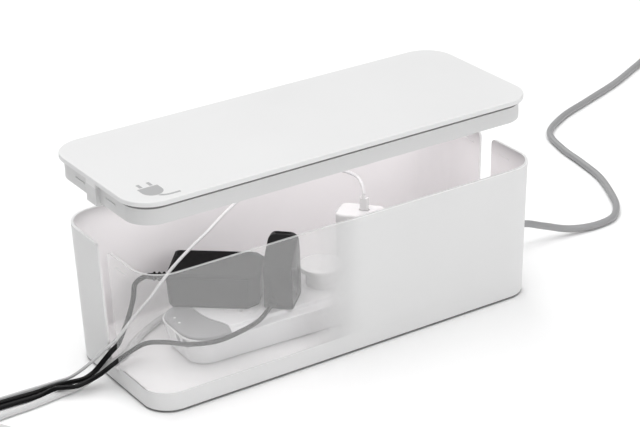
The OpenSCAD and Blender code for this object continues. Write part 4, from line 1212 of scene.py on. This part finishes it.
def upright_section(x):
    """The case's side outline at a distance across it, drawn in near its two sides."""
    u = min(x, UPRIGHT_W - x)
    inset = 2 - math.sqrt(4 - (2 - u) ** 2) if u < 2 else 0.0
    r = UPRIGHT_SHOULDER
    drop = r - math.sqrt(r * r - (r - u) ** 2) if u < r else 0.0
    top = UPRIGHT_TOP - drop
    deep = UPRIGHT_D - inset
    low = DECK + 2.9
    line = fillet([(inset, low), (inset, UPRIGHT_RIDGE), (UPRIGHT_D - 12.5, top), (UPRIGHT_D - 4, top),
                   (deep, UPRIGHT_RIDGE), (deep, low)], 2.4, 5, closed=False)
    return [Vector((x, y, z)) for y, z in line]


def make_upright():
    """A case with a sloping shoulder in front and a round top, standing on its base."""
    near = [0, 0.12, 0.5, 1.1, 2, 3.2, 4.8, 7]
    steps = near + [UPRIGHT_W - x for x in reversed(near)]
    verts, faces = loft([upright_section(x) for x in steps])
    case = make("upright_body", verts, faces, UPRIGHT_PLACE)
    seat = lathe("seat", SEAT, UPRIGHT_PLACE @ along((UPRIGHT_RELIEF_X, 0, UPRIGHT_RELIEF_Z),
                                                     (0, -1, 0)), 24)
    middle = UPRIGHT_PLACE @ Matrix.Translation((UPRIGHT_W / 2, UPRIGHT_D - 8.6, 0))
    cut(case, seat, slab("thumb_dip", 14, 5.4, 2.6, UPRIGHT_TOP - 0.9, UPRIGHT_TOP + 4, middle))
    dress(case, "case_black", replaces=["upright_case"])
    corners = [(0, 0), (UPRIGHT_W, 0), (UPRIGHT_W, UPRIGHT_D), (0, UPRIGHT_D)]
    foot = fillet([(6, DECK), (0.4, DECK), (0, DECK + 0.4), (0, DECK + 2.4), (0.4, DECK + 2.75),
                   (6, DECK + 2.75)], 0.3, 2, closed=False)

    def foot_outline(t):
        inset = [(min(max(x, t), UPRIGHT_W - t), min(max(y, t), UPRIGHT_D - t)) for x, y in corners]
        return fillet(inset, 2.0)

    base = outline_solid("upright_sole", foot_outline, [(p.x, p.y) for p in foot], UPRIGHT_PLACE)
    dress(base, "case_black", replaces=["upright_base"])


CHARGER_PLACE = place_at((23.5, -9.5), -50) @ Matrix.Translation((21, 14, 0))
CHARGER_TOP = 104.0
USB_AT = (24.2 - 21, 15.6 - 14)


def make_charger():
    core, side = (14.0, 7.0), 7.0
    low, top, r = DECK + 3, CHARGER_TOP, 2.2
    profile = [(core, 1.5, low), (core, side - 0.4, low), (core, side, low + 0.4)]
    profile += [(core, side - r + r * math.cos(a), top - r + r * math.sin(a)) for a in arc(6, 0, 90)]
    case = rings_solid("charger_body", profile, CHARGER_PLACE, 10)
    cut(case, slab("usb", 8.8, 5.4, 1.6, CHARGER_TOP - 8, CHARGER_TOP + 4,
                   CHARGER_PLACE @ Matrix.Translation((*USB_AT, 0))))
    dress(soften(case, 0.25, 2, angle=50), "charger_plastic", replaces=["charger_case"])
    foot = [(core, side - 0.4, DECK), (core, side, DECK + 0.4), (core, side, DECK + 2.4),
            (core, side - 0.4, DECK + 2.8)]
    base = rings_solid("charger_sole", foot, CHARGER_PLACE, 10)
    dress(base, "charger_plastic", replaces=["charger_base"])
    place = CHARGER_PLACE @ Matrix.Translation((*USB_AT, CHARGER_TOP - 4))
    grip = soften(slab("cable_plug_grip", 8, 4.6, 1.8, 0, 16, place), 0.5)
    neck = lathe("cable_plug_neck", [(2.2, 15.5), (2.2, 16.3), (1.8, 18.6), (1.7, 19)], place, 28)
    dress(join("cable_plug", grip, neck), "charger_plastic", replaces=["charge_plug"])


PLUG_NECK_R, PLUG_R, PLUG_TOP, PLUG_HEAD_H, PLUG_TURN = 14.5, 20.0, 63.5, 4.5, 110.0
PLUG_LEAD_Z = 54


def make_white_plug():
    middle = STRIP_PLACE @ Vector((SOCKETS[2], 0, 0))
    place = Matrix.Translation((middle.x, middle.y, 0))
    under = PLUG_TOP - PLUG_HEAD_H
    profile = fillet([(0, DECK), (PLUG_NECK_R, DECK), (PLUG_NECK_R, under), (PLUG_R, under),
                      (PLUG_R, PLUG_TOP), (0, PLUG_TOP)], 0.9, closed=False)
    body = lathe("round_plug", [(p.x, p.y) for p in profile], place, 56)
    dress(body, "charger_plastic", replaces=["white_plug"])
    a = math.radians(PLUG_TURN)
    way = Vector((math.cos(a), math.sin(a), 0))
    origin = Vector((middle.x, middle.y, PLUG_LEAD_Z)) + way * (PLUG_NECK_R - 0.3)
    make_relief("white_sleeve", along(origin, way), 21, 4.4, 3.6, WHITE_D, 3, "white_cord",
                "white_relief")


make_brick()
make_upright()
make_charger()
make_white_plug()
make_relief("brick_sleeve", BRICK_PLACE @ along(BRICK_RELIEF, (-1, 0, 0)), 24, 3.1, 2.7, LEAD_A_D, 4,
            "black_cord", "brick_relief")
make_relief("upright_sleeve", UPRIGHT_PLACE @ along((UPRIGHT_RELIEF_X, 2.6, UPRIGHT_RELIEF_Z), (0, -1, 0)),
            11, 3.1, 2.7, LEAD_B_D, 2, "black_cord", "upright_relief")

# ---------------------------------------------------------------- CAD pieces that stay


def polish(node, finish, width=0.25):
    """A smooth copy of a CAD node with its edges rounded, which stands for the node."""
    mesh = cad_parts[node].data.copy()
    mesh.materials.clear()
    bm = bmesh.new()
    bm.from_mesh(mesh)
    bmesh.ops.remove_doubles(bm, verts=bm.verts, dist=2e-6)
    bmesh.ops.dissolve_limit(bm, angle_limit=math.radians(1.5), verts=bm.verts, edges=bm.edges)
    for face in bm.faces:
        face.smooth = True
    bm.to_mesh(mesh)
    bm.free()
    obj = soften(link(node + "_piece", mesh), width, 2)
    return dress(obj, finish, replaces=[node])


KEPT = {
    "live_rail": "contact_brass", "neutral_rail": "contact_brass", "earth_rail": "contact_brass",
    "cord_clamp": "strip_plastic", "strip_screws": "screw_steel",
    "brick_blades": "blade_steel", "upright_blades": "blade_steel", "charger_blades": "blade_steel",
    "white_plug_blades": "blade_steel", "brick_board": "board_green", "upright_board": "board_green",
    "charger_board": "board_green", "brick_transformer": "winding_tape",
}
for kept, kept_finish in KEPT.items():
    kept_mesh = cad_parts[kept].data
    kept_mesh.materials.clear()
    kept_mesh.materials.append(MATS[kept_finish])

pads = grow(points("pads", [STRIP_PLACE @ Vector((x, y, 0)) for x in (-112, 112) for y in (-18, 18)]),
            DISCS, Radius=4.5 * MM, Height=1 * MM, Chamfer=0.2 * MM, Material=MATS["foot_rubber"])
dress(pads, "foot_rubber", replaces=["strip_pads"])

ENDS = {
    "mains_plug": polish("mains_plug", "grey_cord", 0.8),
    "white_connector": polish("white_connector", "white_cord", 0.5),
    "brick_barrel_plug": polish("brick_barrel_plug", "black_plastic", 0.3),
    "upright_barrel_plug": polish("upright_barrel_plug", "black_plastic", 0.3),
    "charge_connector": polish("charge_connector", "charger_plastic", 0.3),
}
mains_pins = polish("mains_plug_blades", "blade_steel", 0.25)

# ---------------------------------------------------------------- ties round the coils

TIES = {
    "mains": tie("mains_tie", MAINS_COIL, MAINS_D, 20, "tie_black"),
    "white": tie("white_tie", WHITE_COIL, WHITE_D, 0, "tie_white"),
    "brick": tie("brick_tie", LEAD_A_COIL, LEAD_A_D, 180, "tie_black"),
    "upright": tie("upright_tie", LEAD_B_COIL, LEAD_B_D, 0, "tie_black"),
    "charge": tie("charge_tie", USB_COIL, USB_D, 0, "tie_white"),
}


# ---------------------------------------------------------------- room and light

WORLD_STRENGTH, TABLE_HALF, TABLE_Z = 0.15, 40000, -0.02
WHITE, ROSY = (1.0, 1.0, 1.0), (1.0, 0.965, 0.975)
# Distant lights: name, direction that they come from, strength and width in degrees
SUNS = [
    ("ceiling", (0.0, 0.0, 1.0), 1.95, 60),
    ("left", (-0.7, -0.1, 0.7), 0.3, 50),
    ("front", (0.15, -0.9, 0.45), 0.84, 50),
    ("back", (0.0, 0.7, 0.7), 0.96, 50),
]
# Each lamp: its name, place and aim and its two widths in metres, its power in watts, its tint
LAMPS = [
    ("window", (1.1, -1.6, 1.3), (0, 0, 0.05), (0.25, 0.25), 1.5, WHITE),
    ("inside", (0, 0, 0.1314), (0, 0, 0), (0.37, 0.13), 0.185, ROSY),
]


def put_light(data, place, aim):
    lamp = bpy.data.objects.new(data.name, data)
    bpy.context.scene.collection.objects.link(lamp)
    spot = Vector(place)
    turn = (Vector(aim) - spot).to_track_quat("-Z", "Y").to_matrix().to_4x4()
    lamp.matrix_world = Matrix.Translation(spot) @ turn


def make_stage():
    """A white tabletop that runs far back, and the light of a bright, even room."""
    corners = [(x * TABLE_HALF, y * TABLE_HALF, TABLE_Z) for x, y in ((-1, -1), (1, -1), (1, 1), (-1, 1))]
    table = make("table", corners, [(0, 1, 2, 3)])
    table.data.materials.append(Finish("table_white", (0.97, 0.97, 0.97), 0.6, depth=0.005,
                                       drift=0.0).mat)
    world = bpy.data.worlds.new("room")
    bpy.context.scene.world = world
    world.use_nodes = True
    world.node_tree.nodes["Background"].inputs["Color"].default_value = (1.0, 1.0, 1.0, 1)
    world.node_tree.nodes["Background"].inputs["Strength"].default_value = WORLD_STRENGTH
    for name, towards, strength, width in SUNS:
        data = bpy.data.lights.new(name, "SUN")
        data.energy, data.angle = strength, math.radians(width)
        put_light(data, Vector(towards) * 3, (0, 0, 0))
    for name, place, aim, size, power, tint in LAMPS:
        data = bpy.data.lights.new(name, "AREA")
        data.shape, data.energy, data.color = "RECTANGLE", power, tint
        data.size, data.size_y = size
        put_light(data, place, aim)


make_stage()

view = bpy.context.scene.view_settings
view.view_transform = "Standard"
view.look = "None"
view.exposure = 0.0
view.gamma = 1.0
